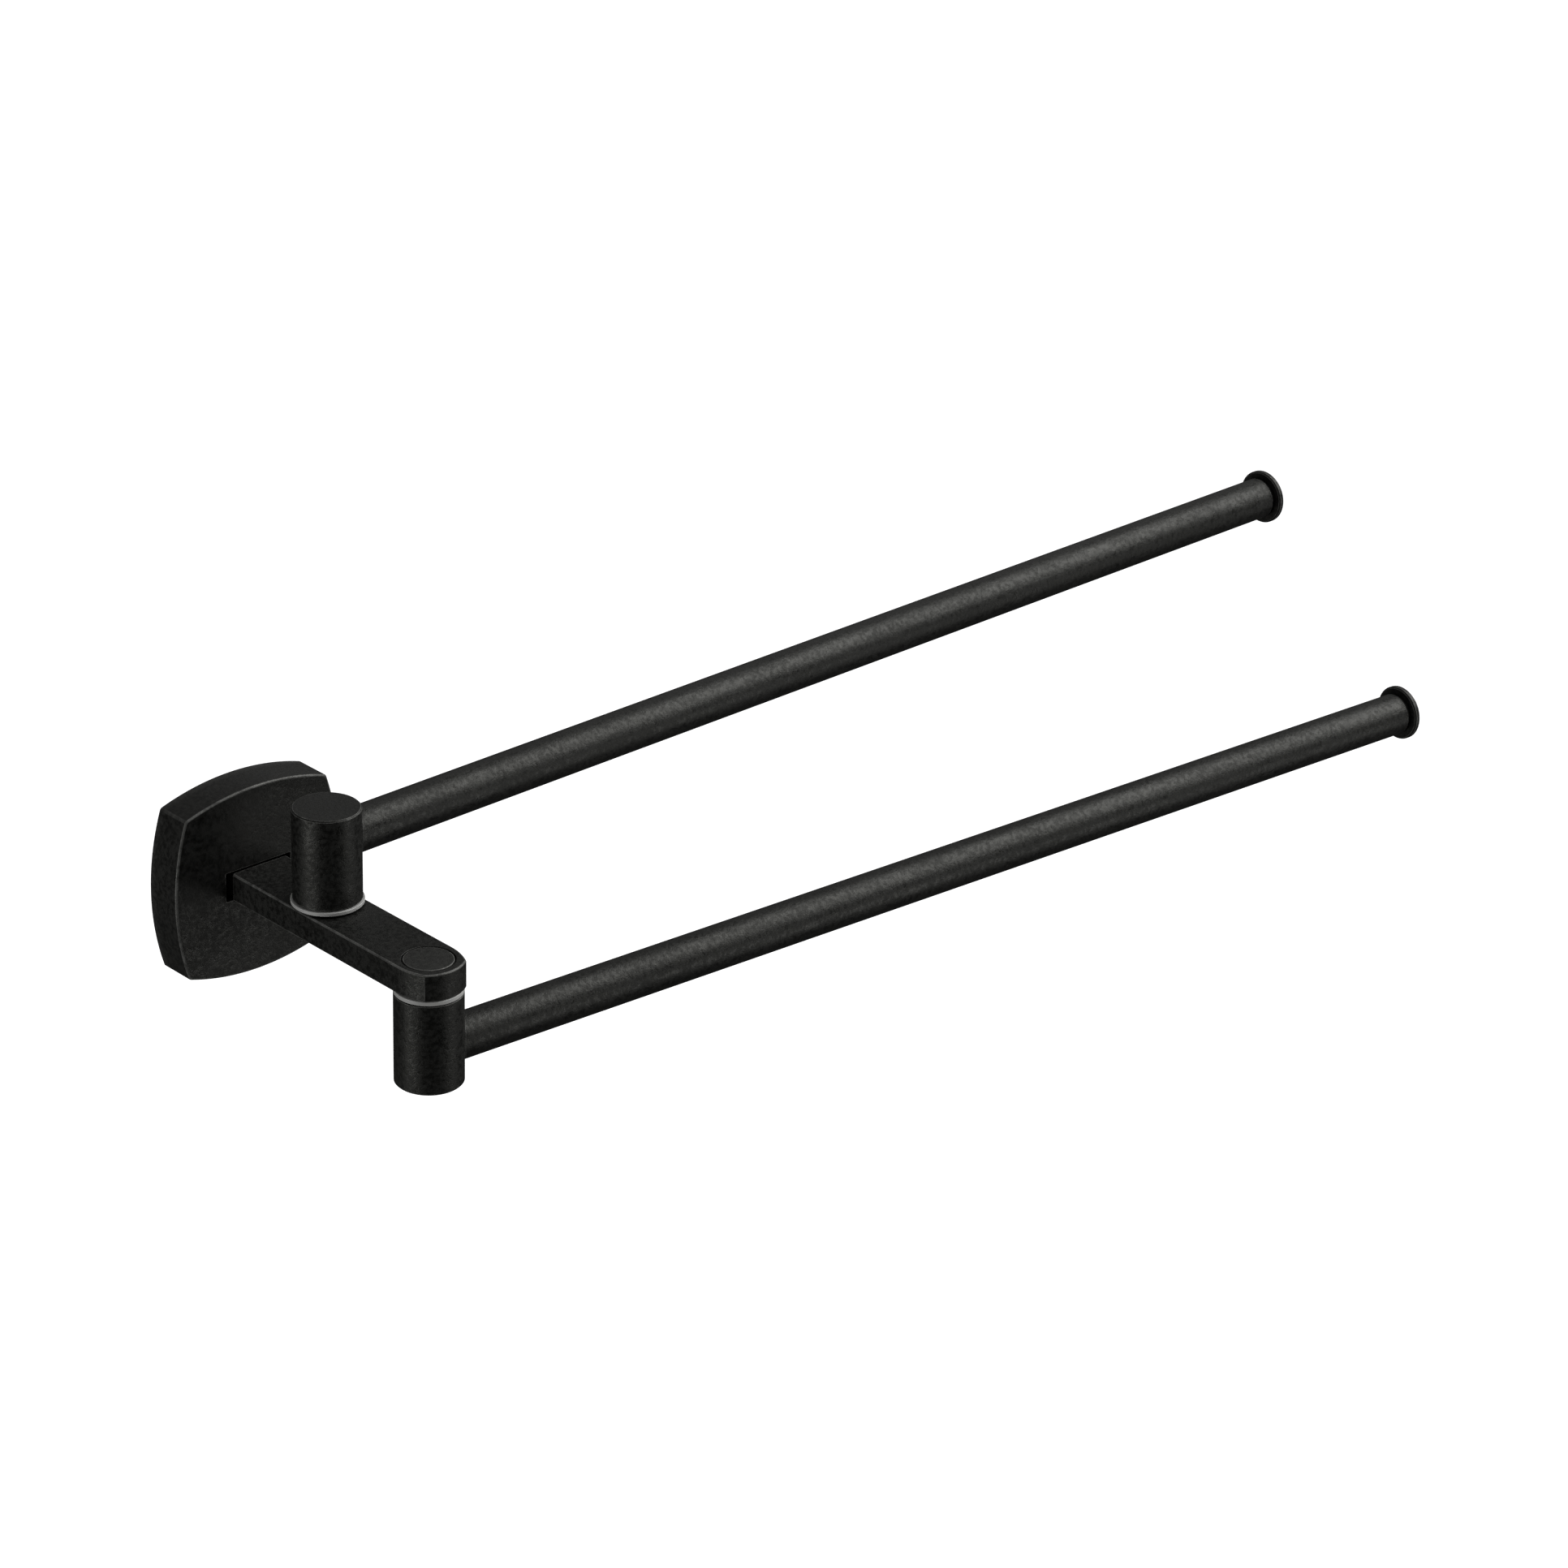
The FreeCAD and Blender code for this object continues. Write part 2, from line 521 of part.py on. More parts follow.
def make_pivot_screw(pivot):
    shoulder_end = f"({barrel_start(pivot)} + shoulder_seat_depth)"
    thread_end = f"({shoulder_end} + pivot_thread_length)"
    profile = pivot.profile([("0", CAP_BACK), ("pivot_head_radius", CAP_BACK),
                             ("pivot_head_radius", HEAD_FRONT), ("pivot_radius", HEAD_FRONT),
                             ("pivot_radius", shoulder_end), ("pivot_thread_radius", shoulder_end),
                             ("pivot_thread_radius", thread_end), ("0", thread_end)])
    body = turned(f"{pivot.name}_pivot_screw", "XZ_Plane", profile, "V_Axis")
    lowest = CAP_BACK if pivot.side > 0 else f"({CAP_BACK} + pivot_socket_depth)"
    hexagon_socket(body, f"{pivot.name}_pivot_socket", "XY_Plane", ("0", "0", pivot.up(lowest)),
                   "pivot_socket_radius", "pivot_socket_depth")
    pivot.place(body, True)


def make_pivot_cap(pivot):
    """A flat disc level with the arm's face, held by a stem in the screw's socket."""
    stem_end = f"({CAP_BACK} + cap_stem_grip)"
    stem_radius = "(pivot_socket_radius * sqrt(3) / 2 - cap_stem_gap)"
    profile = pivot.profile([("0", f"-{ARM_FACE}"), (CAP_RADIUS, f"-{ARM_FACE}"), (CAP_RADIUS, CAP_BACK),
                             (stem_radius, CAP_BACK), (stem_radius, stem_end), ("0", stem_end)])
    pivot.place(turned(f"{pivot.name}_pivot_cap", "XZ_Plane", profile, "V_Axis"), True)


def make_barrel(pivot):
    start = barrel_start(pivot)
    end = f"({start} + barrel_length)"
    rim = "(barrel_radius - barrel_edge)"
    profile = pivot.profile([("0", start), (rim, start), ("barrel_radius", f"({start} + barrel_edge)"),
                             ("barrel_radius", f"({end} - barrel_edge)"), (rim, end), ("0", end)])
    body = turned(f"{pivot.name}_barrel", "XZ_Plane", profile, "V_Axis")
    seat_end = f"({start} + shoulder_seat_depth)"
    tapped_end = f"({seat_end} + pivot_thread_length + bolt_end_gap)"
    for name, radius, first, last in (("shoulder_seat", "pivot_radius", start, seat_end),
                                      ("pivot_thread_hole", "pivot_thread_radius", seat_end, tapped_end)):
        lowest = first if pivot.side > 0 else last
        cylinder(body, f"{pivot.name}_{name}", "XY_Plane", ("0", "0", pivot.up(lowest)), radius,
                 f"{last} - {first}", cut=True)
    height = pivot.up(bar_height(pivot))
    cylinder(body, f"{pivot.name}_bar_socket", "YZ_Plane", ("0", height, "socket_floor"), "bar_radius",
             "barrel_radius", cut=True)
    cylinder(body, f"{pivot.name}_stud_hole", "YZ_Plane", ("0", height, "socket_floor - stud_in_barrel"),
             "stud_radius", "stud_in_barrel", cut=True)
    pivot.place(body, True)


# ---- bars: pieces turned round the X axis, at the height of their barrel's socket ----

def make_bar_piece(label, pivot, profile):
    body = turned(label, "XZ_Plane", profile, "H_Axis")
    pivot.place(body, True)
    bind(body, "Placement.Base.z", pivot.up(bar_height(pivot)))


def make_bar(pivot):
    bore = "(bar_radius - bar_wall)"
    root = "socket_floor"
    root_end = "(socket_floor + root_plug_length)"
    far_end = pivot.bar_length
    flange_back = f"({far_end} - flange_thickness)"
    tube_end = f"({flange_back} - groove_width)"
    flange = "(bar_radius + flange_overhang)"
    groove = "(bar_radius - groove_depth)"
    make_bar_piece(f"{pivot.name}_bar_tube", pivot, [
        (root, bore), (tube_end, bore), (tube_end, "bar_radius - bar_edge"),
        (f"{tube_end} - bar_edge", "bar_radius"), (root, "bar_radius")])
    make_bar_piece(f"{pivot.name}_root_plug", pivot, [
        (root, "stud_radius"), (root_end, "stud_radius"), (root_end, bore), (root, bore)])
    stud_start = "(socket_floor - stud_in_barrel)"
    stud_end = "(socket_floor + stud_in_plug)"
    make_bar_piece(f"{pivot.name}_bar_stud", pivot, [
        (stud_start, "0"), (stud_end, "0"), (stud_end, "stud_radius"), (stud_start, "stud_radius")])
    spigot_start = f"({tube_end} - spigot_length)"
    make_bar_piece(f"{pivot.name}_end_cap", pivot, [
        (spigot_start, "0"), (far_end, "0"), (far_end, f"{flange} - flange_edge"),
        (f"{far_end} - flange_edge", flange), (f"{flange_back} + flange_edge", flange),
        (flange_back, f"{flange} - flange_edge"), (flange_back, groove),
        (tube_end, groove), (tube_end, bore), (spigot_start, bore)])


# ---- the rack ----

make_wall_bracket()
make_arm_foot()
make_arm()
make_wall_plate()
make_plate_set_screw()
make_arm_bolt()
make_arm_dowels()
for pivot in PIVOTS:
    make_pivot_rings(pivot)
    make_pivot_screw(pivot)
    make_pivot_cap(pivot)
    make_barrel(pivot)
    make_bar(pivot)
doc.recompute()

for item in doc.Objects:
    if "Invalid" in item.State or "Error" in item.State:
        raise RuntimeError(f"{item.Name} did not rebuild: {item.State}")
os.makedirs("parts", exist_ok=True)
for piece in pieces:
    if piece.Shape.isNull() or not piece.Shape.isValid():
        raise RuntimeError(f"{piece.Label} has no valid shape")
    piece.Shape.exportStep(f"parts/{piece.Label}.step")
    box = piece.Shape.BoundBox
    print(f"{piece.Label:24s} {len(piece.Shape.Solids)} solid(s) {piece.Shape.Volume:10.1f} mm3",
          f"x {box.XMin:7.2f} {box.XMax:7.2f}", f"y {box.YMin:8.2f} {box.YMax:7.2f}",
          f"z {box.ZMin:7.2f} {box.ZMax:7.2f}")
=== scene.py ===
# %% [markdown]
# # A swivel towel rack with a black coat
# Two round bars swing on barrels above and below a short arm, and the arm stands out from a plate on
# the wall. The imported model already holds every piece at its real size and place, so this lesson
# doesn't place anything by eye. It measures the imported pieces, remakes the ones that show as smooth
# surfaces with rounded edges, and gives every piece its finish.

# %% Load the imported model
import json
import math

import bmesh
import bpy
import numpy as np
from mathutils import Matrix, Vector


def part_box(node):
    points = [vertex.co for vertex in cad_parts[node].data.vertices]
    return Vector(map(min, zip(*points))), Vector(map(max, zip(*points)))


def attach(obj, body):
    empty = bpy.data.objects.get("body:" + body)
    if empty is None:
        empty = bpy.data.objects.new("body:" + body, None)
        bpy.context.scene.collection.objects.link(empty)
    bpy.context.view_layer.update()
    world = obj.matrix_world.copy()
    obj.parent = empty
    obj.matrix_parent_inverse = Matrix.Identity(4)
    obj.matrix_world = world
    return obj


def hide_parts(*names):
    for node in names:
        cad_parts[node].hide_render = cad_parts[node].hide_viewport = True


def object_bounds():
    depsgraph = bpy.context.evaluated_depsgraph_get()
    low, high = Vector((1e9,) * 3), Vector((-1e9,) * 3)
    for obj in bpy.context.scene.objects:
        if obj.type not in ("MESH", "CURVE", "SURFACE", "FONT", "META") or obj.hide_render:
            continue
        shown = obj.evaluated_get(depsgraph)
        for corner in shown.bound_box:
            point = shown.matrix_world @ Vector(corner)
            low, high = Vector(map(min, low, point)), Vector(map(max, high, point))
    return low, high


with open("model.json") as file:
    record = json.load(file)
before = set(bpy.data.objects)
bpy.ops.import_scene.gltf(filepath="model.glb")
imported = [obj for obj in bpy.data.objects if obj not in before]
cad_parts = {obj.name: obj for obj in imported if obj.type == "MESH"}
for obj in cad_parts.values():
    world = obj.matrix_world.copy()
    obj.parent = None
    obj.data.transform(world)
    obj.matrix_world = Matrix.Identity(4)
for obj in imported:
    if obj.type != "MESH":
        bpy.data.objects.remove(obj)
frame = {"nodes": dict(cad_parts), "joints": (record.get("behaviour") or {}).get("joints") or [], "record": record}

MM = 0.001
nodes = frame["nodes"]
cad_low, cad_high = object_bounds()
print("packed pieces:", len(nodes), "size in mm:", [round(side / MM, 1) for side in cad_high - cad_low])

# %% [markdown]
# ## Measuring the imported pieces
# A bar at rest is turned a little from the X axis, so its bounding box doesn't give its length or its
# radius. What does is its own axis: each corner of the piece is a distance along the axis and a
# distance away from it. The axis starts on the bar's pivot, which is the joint's place in the record,
# and passes through the middle of the bar's root plug, a plain round piece that is the same at both
# ends.

# %% Distances along an axis and away from it
def corners_of(node):
    """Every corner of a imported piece, one row for each."""
    mesh = nodes[node].data
    places = np.empty(len(mesh.vertices) * 3)
    mesh.vertices.foreach_get("co", places)
    return places.reshape(-1, 3)


def measure(node, origin, axis):
    """Where a piece starts and ends along an axis, and its largest radius about it. The distance along
    is the dot product with the axis, and the radius is the length of what is left over."""
    offset = corners_of(node) - origin
    along = offset @ axis
    radius = np.linalg.norm(offset - along[:, None] * axis, axis=1)
    return along.min(), along.max(), radius.max()


UP = np.array([0.0, 0.0, 1.0])
INTO_WALL = np.array([0.0, 1.0, 0.0])


class Bar:
    """A bar's pivot, the direction it points in, and the side of the arm that its barrel is on."""

    def __init__(self, name):
        joint = next(joint for joint in frame["joints"] if joint["child"] == name + "_bar")
        low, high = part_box(name + "_root_plug")
        middle = np.array((low + high) / 2)
        self.name = name
        self.body = joint["child"]
        self.pivot = np.array([joint["pos_m"][0], joint["pos_m"][1], 0.0])
        self.root = np.array([self.pivot[0], self.pivot[1], middle[2]])
        self.axis = (middle - self.root) / np.linalg.norm(middle - self.root)
        self.side = 1.0 if middle[2] > 0 else -1.0


bars = [Bar("upper"), Bar("lower")]
for bar in bars:
    start, end, radius = measure(bar.name + "_bar_tube", bar.root, bar.axis)
    turn = math.degrees(math.atan2(bar.axis[1], bar.axis[0]))
    print(f"{bar.name} tube: {start / MM:.1f} to {end / MM:.1f} mm from its pivot,",
          f"radius {radius / MM:.2f}, turned {turn:.2f} degrees")

# %% [markdown]
# ## One way to make every piece
# A bar is turned, the arm is milled from flat bar and the plate is pressed, yet each can be described
# in the same way: a stack of closed rings. On a turned piece the rings are circles. On the arm they are
# its outline, drawn in a little at the top and bottom to round the edges. On the plate they run up its
# side, over its front and back down inside it. A stack is an array of rows, points and coordinates, so
# a whole surface is worked out at once. A stack whose first and last rings shrink to a point is closed
# at its poles, and one that is closed in both directions joins its last ring to its first.

# %% Faces of a stack of rings
def ring_faces(rings, points, closed):
    """Four-sided faces between each ring and the next. A face has a point, the point after it round the
    ring, and the same two on the next ring."""
    ring = np.arange(rings if closed else rings - 1)[:, None]
    point = np.arange(points)[None, :]
    next_ring, next_point = (ring + 1) % rings, (point + 1) % points
    corners = (ring * points + point, ring * points + next_point,
               next_ring * points + next_point, next_ring * points + point)
    return np.stack(np.broadcast_arrays(*corners), axis=-1).reshape(-1, 4)


print("faces between three rings of four points:", len(ring_faces(3, 4, closed=False)))

# %% [markdown]
# ## Rounded corners
# No real edge is sharp: a tool leaves a bevel and the coat rounds what is left. Each profile here is
# drawn with its few true corners, and a radius for each. The arc that replaces a corner touches both of
# its sides. A guard point just past each end of an arc stops its shading from spreading over the flat
# beside it.

# %% Arcs and rounded profiles
GUARD = 0.08 * MM


def arc(centre, radius, first, last, steps):
    """Points at even angles on a circle, from the first angle to the last, both in radians."""
    angle = np.linspace(first, last, steps + 1)
    return np.array(centre) + radius * np.stack([np.cos(angle), np.sin(angle)], axis=-1)


def rounded(corners, radii, steps=5):
    """A profile with an arc in each corner that has a radius. The arc starts and ends radius / tan(h)
    from the corner, where h is half of the corner's angle, and its centre is radius / sin(h) away
    between the sides."""
    corners = np.array(corners, float)
    stretches = []
    for i, (corner, radius) in enumerate(zip(corners, radii)):
        if not radius:
            stretches.append(corner[None])
            continue
        sides = np.stack([corners[i - 1], corners[(i + 1) % len(corners)]]) - corner
        sides /= np.linalg.norm(sides, axis=1)[:, None]
        half = math.acos(sides[0] @ sides[1]) / 2
        between = sides.sum(axis=0) / np.linalg.norm(sides.sum(axis=0))
        centre = corner + between * radius / math.sin(half)
        guards = corner + sides * (radius / math.tan(half) + GUARD)
        spoke = corner + sides[0] * radius / math.tan(half) - centre
        first = math.atan2(spoke[1], spoke[0])
        turn = (math.pi - 2 * half) * np.sign(sides[0, 0] * sides[1, 1] - sides[0, 1] * sides[1, 0])
        stretches += [guards[:1], arc(centre, radius, first, first - turn, steps), guards[1:]]
    return np.concatenate(stretches)


def turned(profile, origin, axis, points=96):
    """Rings of a turned piece. Each profile point is a distance along the axis and a radius, and its
    ring is that radius times the cosine and sine of an even sweep of angles, on two directions square
    to the axis."""
    profile = np.asarray(profile, float)
    across = np.cross(axis, UP if abs(axis[2]) < 0.9 else INTO_WALL)
    across /= np.linalg.norm(across)
    angle = np.linspace(0, 2 * math.pi, points, endpoint=False)[:, None]
    spokes = np.cos(angle) * across + np.sin(angle) * np.cross(axis, across)
    return origin + profile[:, None, :1] * axis + profile[:, None, 1:] * spokes


square = rounded([(0, 0), (1, 0), (1, 1), (0, 1)], [0.2] * 4)
print("a square with four arcs has", len(square), "points, from", square.min().round(3),
      "to", square.max().round(3))

# %% [markdown]
# ## How sharply a surface turns
# A coat is thinnest on its outward edges, and hands rub it there first. So each piece carries an
# attribute named edge, from 0 on a flat to 1 on a tight outward curve, for its finish to read: the
# black coat paints worn coat and a bright highlight line there. The bend along a line of points is
# how much its direction changes between one step and the next, divided by the length of a step. Where
# the change points inwards, against the surface's normal, the surface curves outwards.

# %% The edge attribute of a stack
FLATTEST_EDGE = 0.3 / MM
SHARPEST_EDGE = 1.1 / MM


def unit(vectors):
    return vectors / np.maximum(np.linalg.norm(vectors, axis=-1, keepdims=True), 1e-12)


def bend(stack, direction):
    """The change of direction between the step to a point and the step from it, per metre."""
    step = np.roll(stack, -1, axis=direction) - stack
    before = np.roll(step, 1, axis=direction)
    length = (np.linalg.norm(step, axis=-1) + np.linalg.norm(before, axis=-1)) / 2
    return (unit(step) - unit(before)) / np.maximum(length, GUARD / 4)[..., None]


def outward_normals(stack):
    """The cross product of the steps along and across the rings, turned round if the stack's volume,
    the sum of each place's dot product with its piece of area, comes out negative."""
    along = np.roll(stack, -1, axis=0) - np.roll(stack, 1, axis=0)
    across = np.roll(stack, -1, axis=1) - np.roll(stack, 1, axis=1)
    area = np.cross(across, along)
    volume = np.sum((stack - stack.mean(axis=(0, 1))) * area)
    return unit(area) * np.sign(volume)


def edge_values(stack, closed, hollow):
    """The sharper of a point's two outward bends, as a share of the way between the two limits."""
    normals = outward_normals(stack) * (-1 if hollow else 1)
    bends = [-np.sum(bend(stack, direction) * normals, axis=-1) for direction in (0, 1)]
    if not closed:
        bends[0][[0, -1]] = 0
    share = (np.maximum(*bends) - FLATTEST_EDGE) / (SHARPEST_EDGE - FLATTEST_EDGE)
    return np.clip(share, 0, 1)


# %% [markdown]
# ## From rings to a mesh
# The rings' points and faces go into a mesh, and the edge attribute with them. Points that lie on each
# other then become one, which closes the poles, and the faces are turned outwards. A mesh could also be
# built face by face, but whole arrays are quicker and leave no chance to miss one.

# %% Mesh
WELD = 0.002 * MM


def weld(mesh, turn_outwards):
    """Makes one point of those that lie on each other, drops what has no area, and may turn the faces
    outwards."""
    shell = bmesh.new()
    shell.from_mesh(mesh)
    bmesh.ops.remove_doubles(shell, verts=shell.verts, dist=WELD)
    bmesh.ops.dissolve_degenerate(shell, edges=shell.edges, dist=WELD)
    if turn_outwards:
        bmesh.ops.recalc_face_normals(shell, faces=shell.faces)
    shell.to_mesh(mesh)
    shell.free()


def ring_object(name, stacks, hollow=False):
    """An object from stacks of rings, each a pair: the rings, and whether the last one joins the
    first."""
    mesh = bpy.data.meshes.new(name)
    starts = np.cumsum([0] + [stack.shape[0] * stack.shape[1] for stack, _ in stacks])
    places = np.concatenate([stack.reshape(-1, 3) for stack, _ in stacks])
    faces = np.concatenate([ring_faces(*stack.shape[:2], closed) + start
                            for (stack, closed), start in zip(stacks, starts)])
    mesh.from_pydata(places.tolist(), [], faces.tolist())
    edges = np.concatenate([edge_values(stack, closed, hollow).ravel() for stack, closed in stacks])
    mesh.attributes.new("edge", "FLOAT", "POINT").data.foreach_set("value", edges.astype(np.float32))
    weld(mesh, turn_outwards=True)
    piece = bpy.data.objects.new(name, mesh)
    bpy.context.scene.collection.objects.link(piece)
    return piece


# %% [markdown]
# ## Holes and bosses
# A drilled hole is easiest to make as the workshop makes it: with the shape of the drill. A Boolean
# modifier takes the drill's shape out of the piece, or adds a boss to it, and its result is kept as the
# piece's own mesh. Drawing each hole's edge into the rings would give a neater mesh, but a round hole
# doesn't line up with them.

# %% Boolean cuts and joins
def settle(piece):
    """Keeps what the piece's modifiers make of it as its own mesh."""
    bpy.context.view_layer.update()
    depsgraph = bpy.context.evaluated_depsgraph_get()
    made = bpy.data.meshes.new_from_object(piece.evaluated_get(depsgraph), preserve_all_data_layers=True,
                                           depsgraph=depsgraph)
    piece.modifiers.clear()
    piece.data = made


def combine(piece, stacks, operation):
    """Cuts stacks of rings out of a piece (DIFFERENCE) or adds them to it (UNION)."""
    other = ring_object("tool", stacks, hollow=operation == "DIFFERENCE")
    modifier = piece.modifiers.new(operation.lower(), "BOOLEAN")
    modifier.operation = operation
    modifier.solver = "EXACT"
    modifier.object = other
    settle(piece)
    weld(piece.data, turn_outwards=False)
    bpy.data.objects.remove(other)


# %% [markdown]
# ## Shading, and what the piece stands for
# Edges over 40 degrees are marked as sharp, and a Weighted Normal modifier lets the large faces decide
# the shading, so that a flat stays flat up to its edge. Last, the piece is tied to the body that it
# moves with, and the imported piece that it stands for is hidden. Two numbers are printed to show
# whether it is sound: how many open edges it has, and its volume as a share of the imported piece's.

# %% The finished piece
SHARP_ANGLE = math.radians(40)


def volume_of(mesh):
    """Each triangle's corners give a box product, and a sixth of their sum is the volume inside."""
    mesh.calc_loop_triangles()
    corners = np.empty(len(mesh.loop_triangles) * 3, np.int32)
    mesh.loop_triangles.foreach_get("vertices", corners)
    places = np.empty(len(mesh.vertices) * 3)
    mesh.vertices.foreach_get("co", places)
    a, b, c = places.reshape(-1, 3)[corners.reshape(-1, 3)].transpose(1, 0, 2)
    return np.sum(a * np.cross(b, c)) / 6


def finish_piece(piece, body, node):
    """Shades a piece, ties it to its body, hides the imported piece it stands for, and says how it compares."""
    mesh = piece.data
    mesh.shade_smooth()
    mesh.set_sharp_from_angle(angle=SHARP_ANGLE)
    even = piece.modifiers.new("even_shading", "WEIGHTED_NORMAL")
    even.keep_sharp = True
    settle(piece)
    uses = np.zeros(len(piece.data.loops), np.int32)
    piece.data.loops.foreach_get("edge_index", uses)
    open_edges = np.count_nonzero(np.bincount(uses) != 2)
    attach(piece, body)
    stands_for = "a piece of its own"
    if node:
        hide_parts(node)
        share = volume_of(piece.data) / volume_of(nodes[node].data)
        stands_for = f"{100 * share:.1f}% of the volume of {node}"
    print(f"{piece.name}: {len(piece.data.polygons)} faces, {open_edges} open edges, {stands_for}")


# %% [markdown]
# ## The bar tubes and their end caps
# A bar is a drawn tube. Its far end has a small bevel, and a solid cap is pressed into it: a flange a
# little larger than the tube, and a narrower neck that leaves a fine dark groove between the two. Both
# are turned pieces, so each one is a profile of distance along the bar and radius. The tube's profile
# is closed, out along the bore and back along the outside. The cap's begins and ends on the axis.

# %% Tubes
SKIN_ROUND = 0.15 * MM
TUBE_BEVEL = 0.5 * MM
TUBE_WALL = 1.2 * MM


def make_tube(bar):
    start, end, radius = measure(bar.name + "_bar_tube", bar.root, bar.axis)
    profile = rounded([(start, radius - TUBE_WALL), (end, radius - TUBE_WALL), (end, radius - TUBE_BEVEL),
                       (end - TUBE_BEVEL, radius), (start, radius)],
                      [0, SKIN_ROUND, SKIN_ROUND, SKIN_ROUND, 0])
    piece = ring_object(f"{bar.name}_tube", [(turned(profile, bar.root, bar.axis), True)])
    finish_piece(piece, bar.body, f"{bar.name}_bar_tube")
    return piece


tubes = [make_tube(bar) for bar in bars]

# %% [markdown]
# The cap could be two pieces, a plug and a flange, but on the real bar one turning makes both, and one
# profile makes both here. It starts on the axis inside the tube, steps in to the groove's floor, steps
# out again round the flange with a bevel on each edge, and ends on the axis at the far face. The
# flange's outer bevel catches the light as a thin bright ring, so it has the largest rounding.

# %% End caps
FLANGE_THICKNESS = 2.6 * MM
FLANGE_BEVEL = 0.6 * MM
GROOVE_RADIUS = 7.2 * MM
SPIGOT_CLEARANCE = 0.02 * MM


def make_end_plug(bar):
    start, end, radius = measure(bar.name + "_end_cap", bar.root, bar.axis)
    _, tube_end, tube_radius = measure(bar.name + "_bar_tube", bar.root, bar.axis)
    spigot = tube_radius - TUBE_WALL - SPIGOT_CLEARANCE
    back = end - FLANGE_THICKNESS
    profile = rounded(
        [(start, 0), (start, spigot), (tube_end, spigot), (tube_end, GROOVE_RADIUS), (back, GROOVE_RADIUS),
         (back, radius - FLANGE_BEVEL), (back + FLANGE_BEVEL, radius), (end - FLANGE_BEVEL, radius),
         (end, radius - FLANGE_BEVEL), (end, 0)],
        [0, SKIN_ROUND, 0, 0, SKIN_ROUND, SKIN_ROUND, 2 * SKIN_ROUND, 2 * SKIN_ROUND, SKIN_ROUND, 0])
    piece = ring_object(f"{bar.name}_end_plug", [(turned(profile, bar.root, bar.axis), False)])
    finish_piece(piece, bar.body, f"{bar.name}_end_cap")
    return piece


end_plugs = [make_end_plug(bar) for bar in bars]

# %% [markdown]
# ## The barrels
# Each barrel is turned from round bar, with a fine bevel at both ends. A seat and a threaded hole for
# the pivot screw run up from the end at the arm, and they are part of the same profile: it starts at
# the bottom of the hole on the axis, comes out, goes round the outside and ends on the axis at the far
# face. The socket for the bar is bored from the side, so it is cut afterwards.

# %% Turned barrels with a bored socket
BARREL_BEVEL = 0.5 * MM
SEAT_RADIUS = 3.0 * MM
SEAT_DEPTH = 1.0 * MM
THREAD_RADIUS = 2.5 * MM
THREAD_HOLE = 11.5 * MM
STUD_RADIUS = 3.0 * MM
SIDE_RINGS = 12


def make_barrel(bar):
    axis = UP * bar.side
    near, far, radius = measure(bar.name + "_barrel", bar.pivot, axis)
    rim = radius - BARREL_BEVEL
    side = [(along, radius) for along in np.linspace(near, far, SIDE_RINGS)[1:-1]]
    profile = rounded(
        [(near + THREAD_HOLE, 0), (near + THREAD_HOLE, THREAD_RADIUS), (near + SEAT_DEPTH, THREAD_RADIUS),
         (near + SEAT_DEPTH, SEAT_RADIUS), (near, SEAT_RADIUS), (near, rim), (near + BARREL_BEVEL, radius)]
        + side + [(far - BARREL_BEVEL, radius), (far, rim), (far, 0)],
        [0, 0, 0, 0, 0, SKIN_ROUND, SKIN_ROUND] + [0] * len(side) + [SKIN_ROUND, SKIN_ROUND, 0])
    piece = ring_object(f"{bar.name}_turned_barrel", [(turned(profile, bar.pivot, axis), False)])
    socket_floor, _, bar_radius = measure(bar.name + "_bar_tube", bar.root, bar.axis)
    stud_start, _, _ = measure(bar.name + "_bar_stud", bar.root, bar.axis)
    bore = [(stud_start, 0), (stud_start, STUD_RADIUS), (socket_floor, STUD_RADIUS),
            (socket_floor, bar_radius), (2 * radius, bar_radius), (2 * radius, 0)]
    combine(piece, [(turned(bore, bar.root, bar.axis), False)], "DIFFERENCE")
    finish_piece(piece, bar.body, f"{bar.name}_barrel")
    return piece


barrels = [make_barrel(bar) for bar in bars]

# %% [markdown]
# ## The coat in the corner between bar and barrel
# Powder melts and flows before it sets, so it draws a fine hollow fillet into the corner where the bar
# enters its barrel. The corner is the curve where two cylinders meet. At an angle p round the bar its
# place is r sin p to the side and r cos p up, and the square root of R squared less the side distance
# squared along the bar. At each point the fillet's section is a curve between a point on the bar and a
# point on the barrel, pulled towards the corner.

# %% Fillet rings
FILLET_REACH = 0.45 * MM
FILLET_ROOT = 0.15 * MM


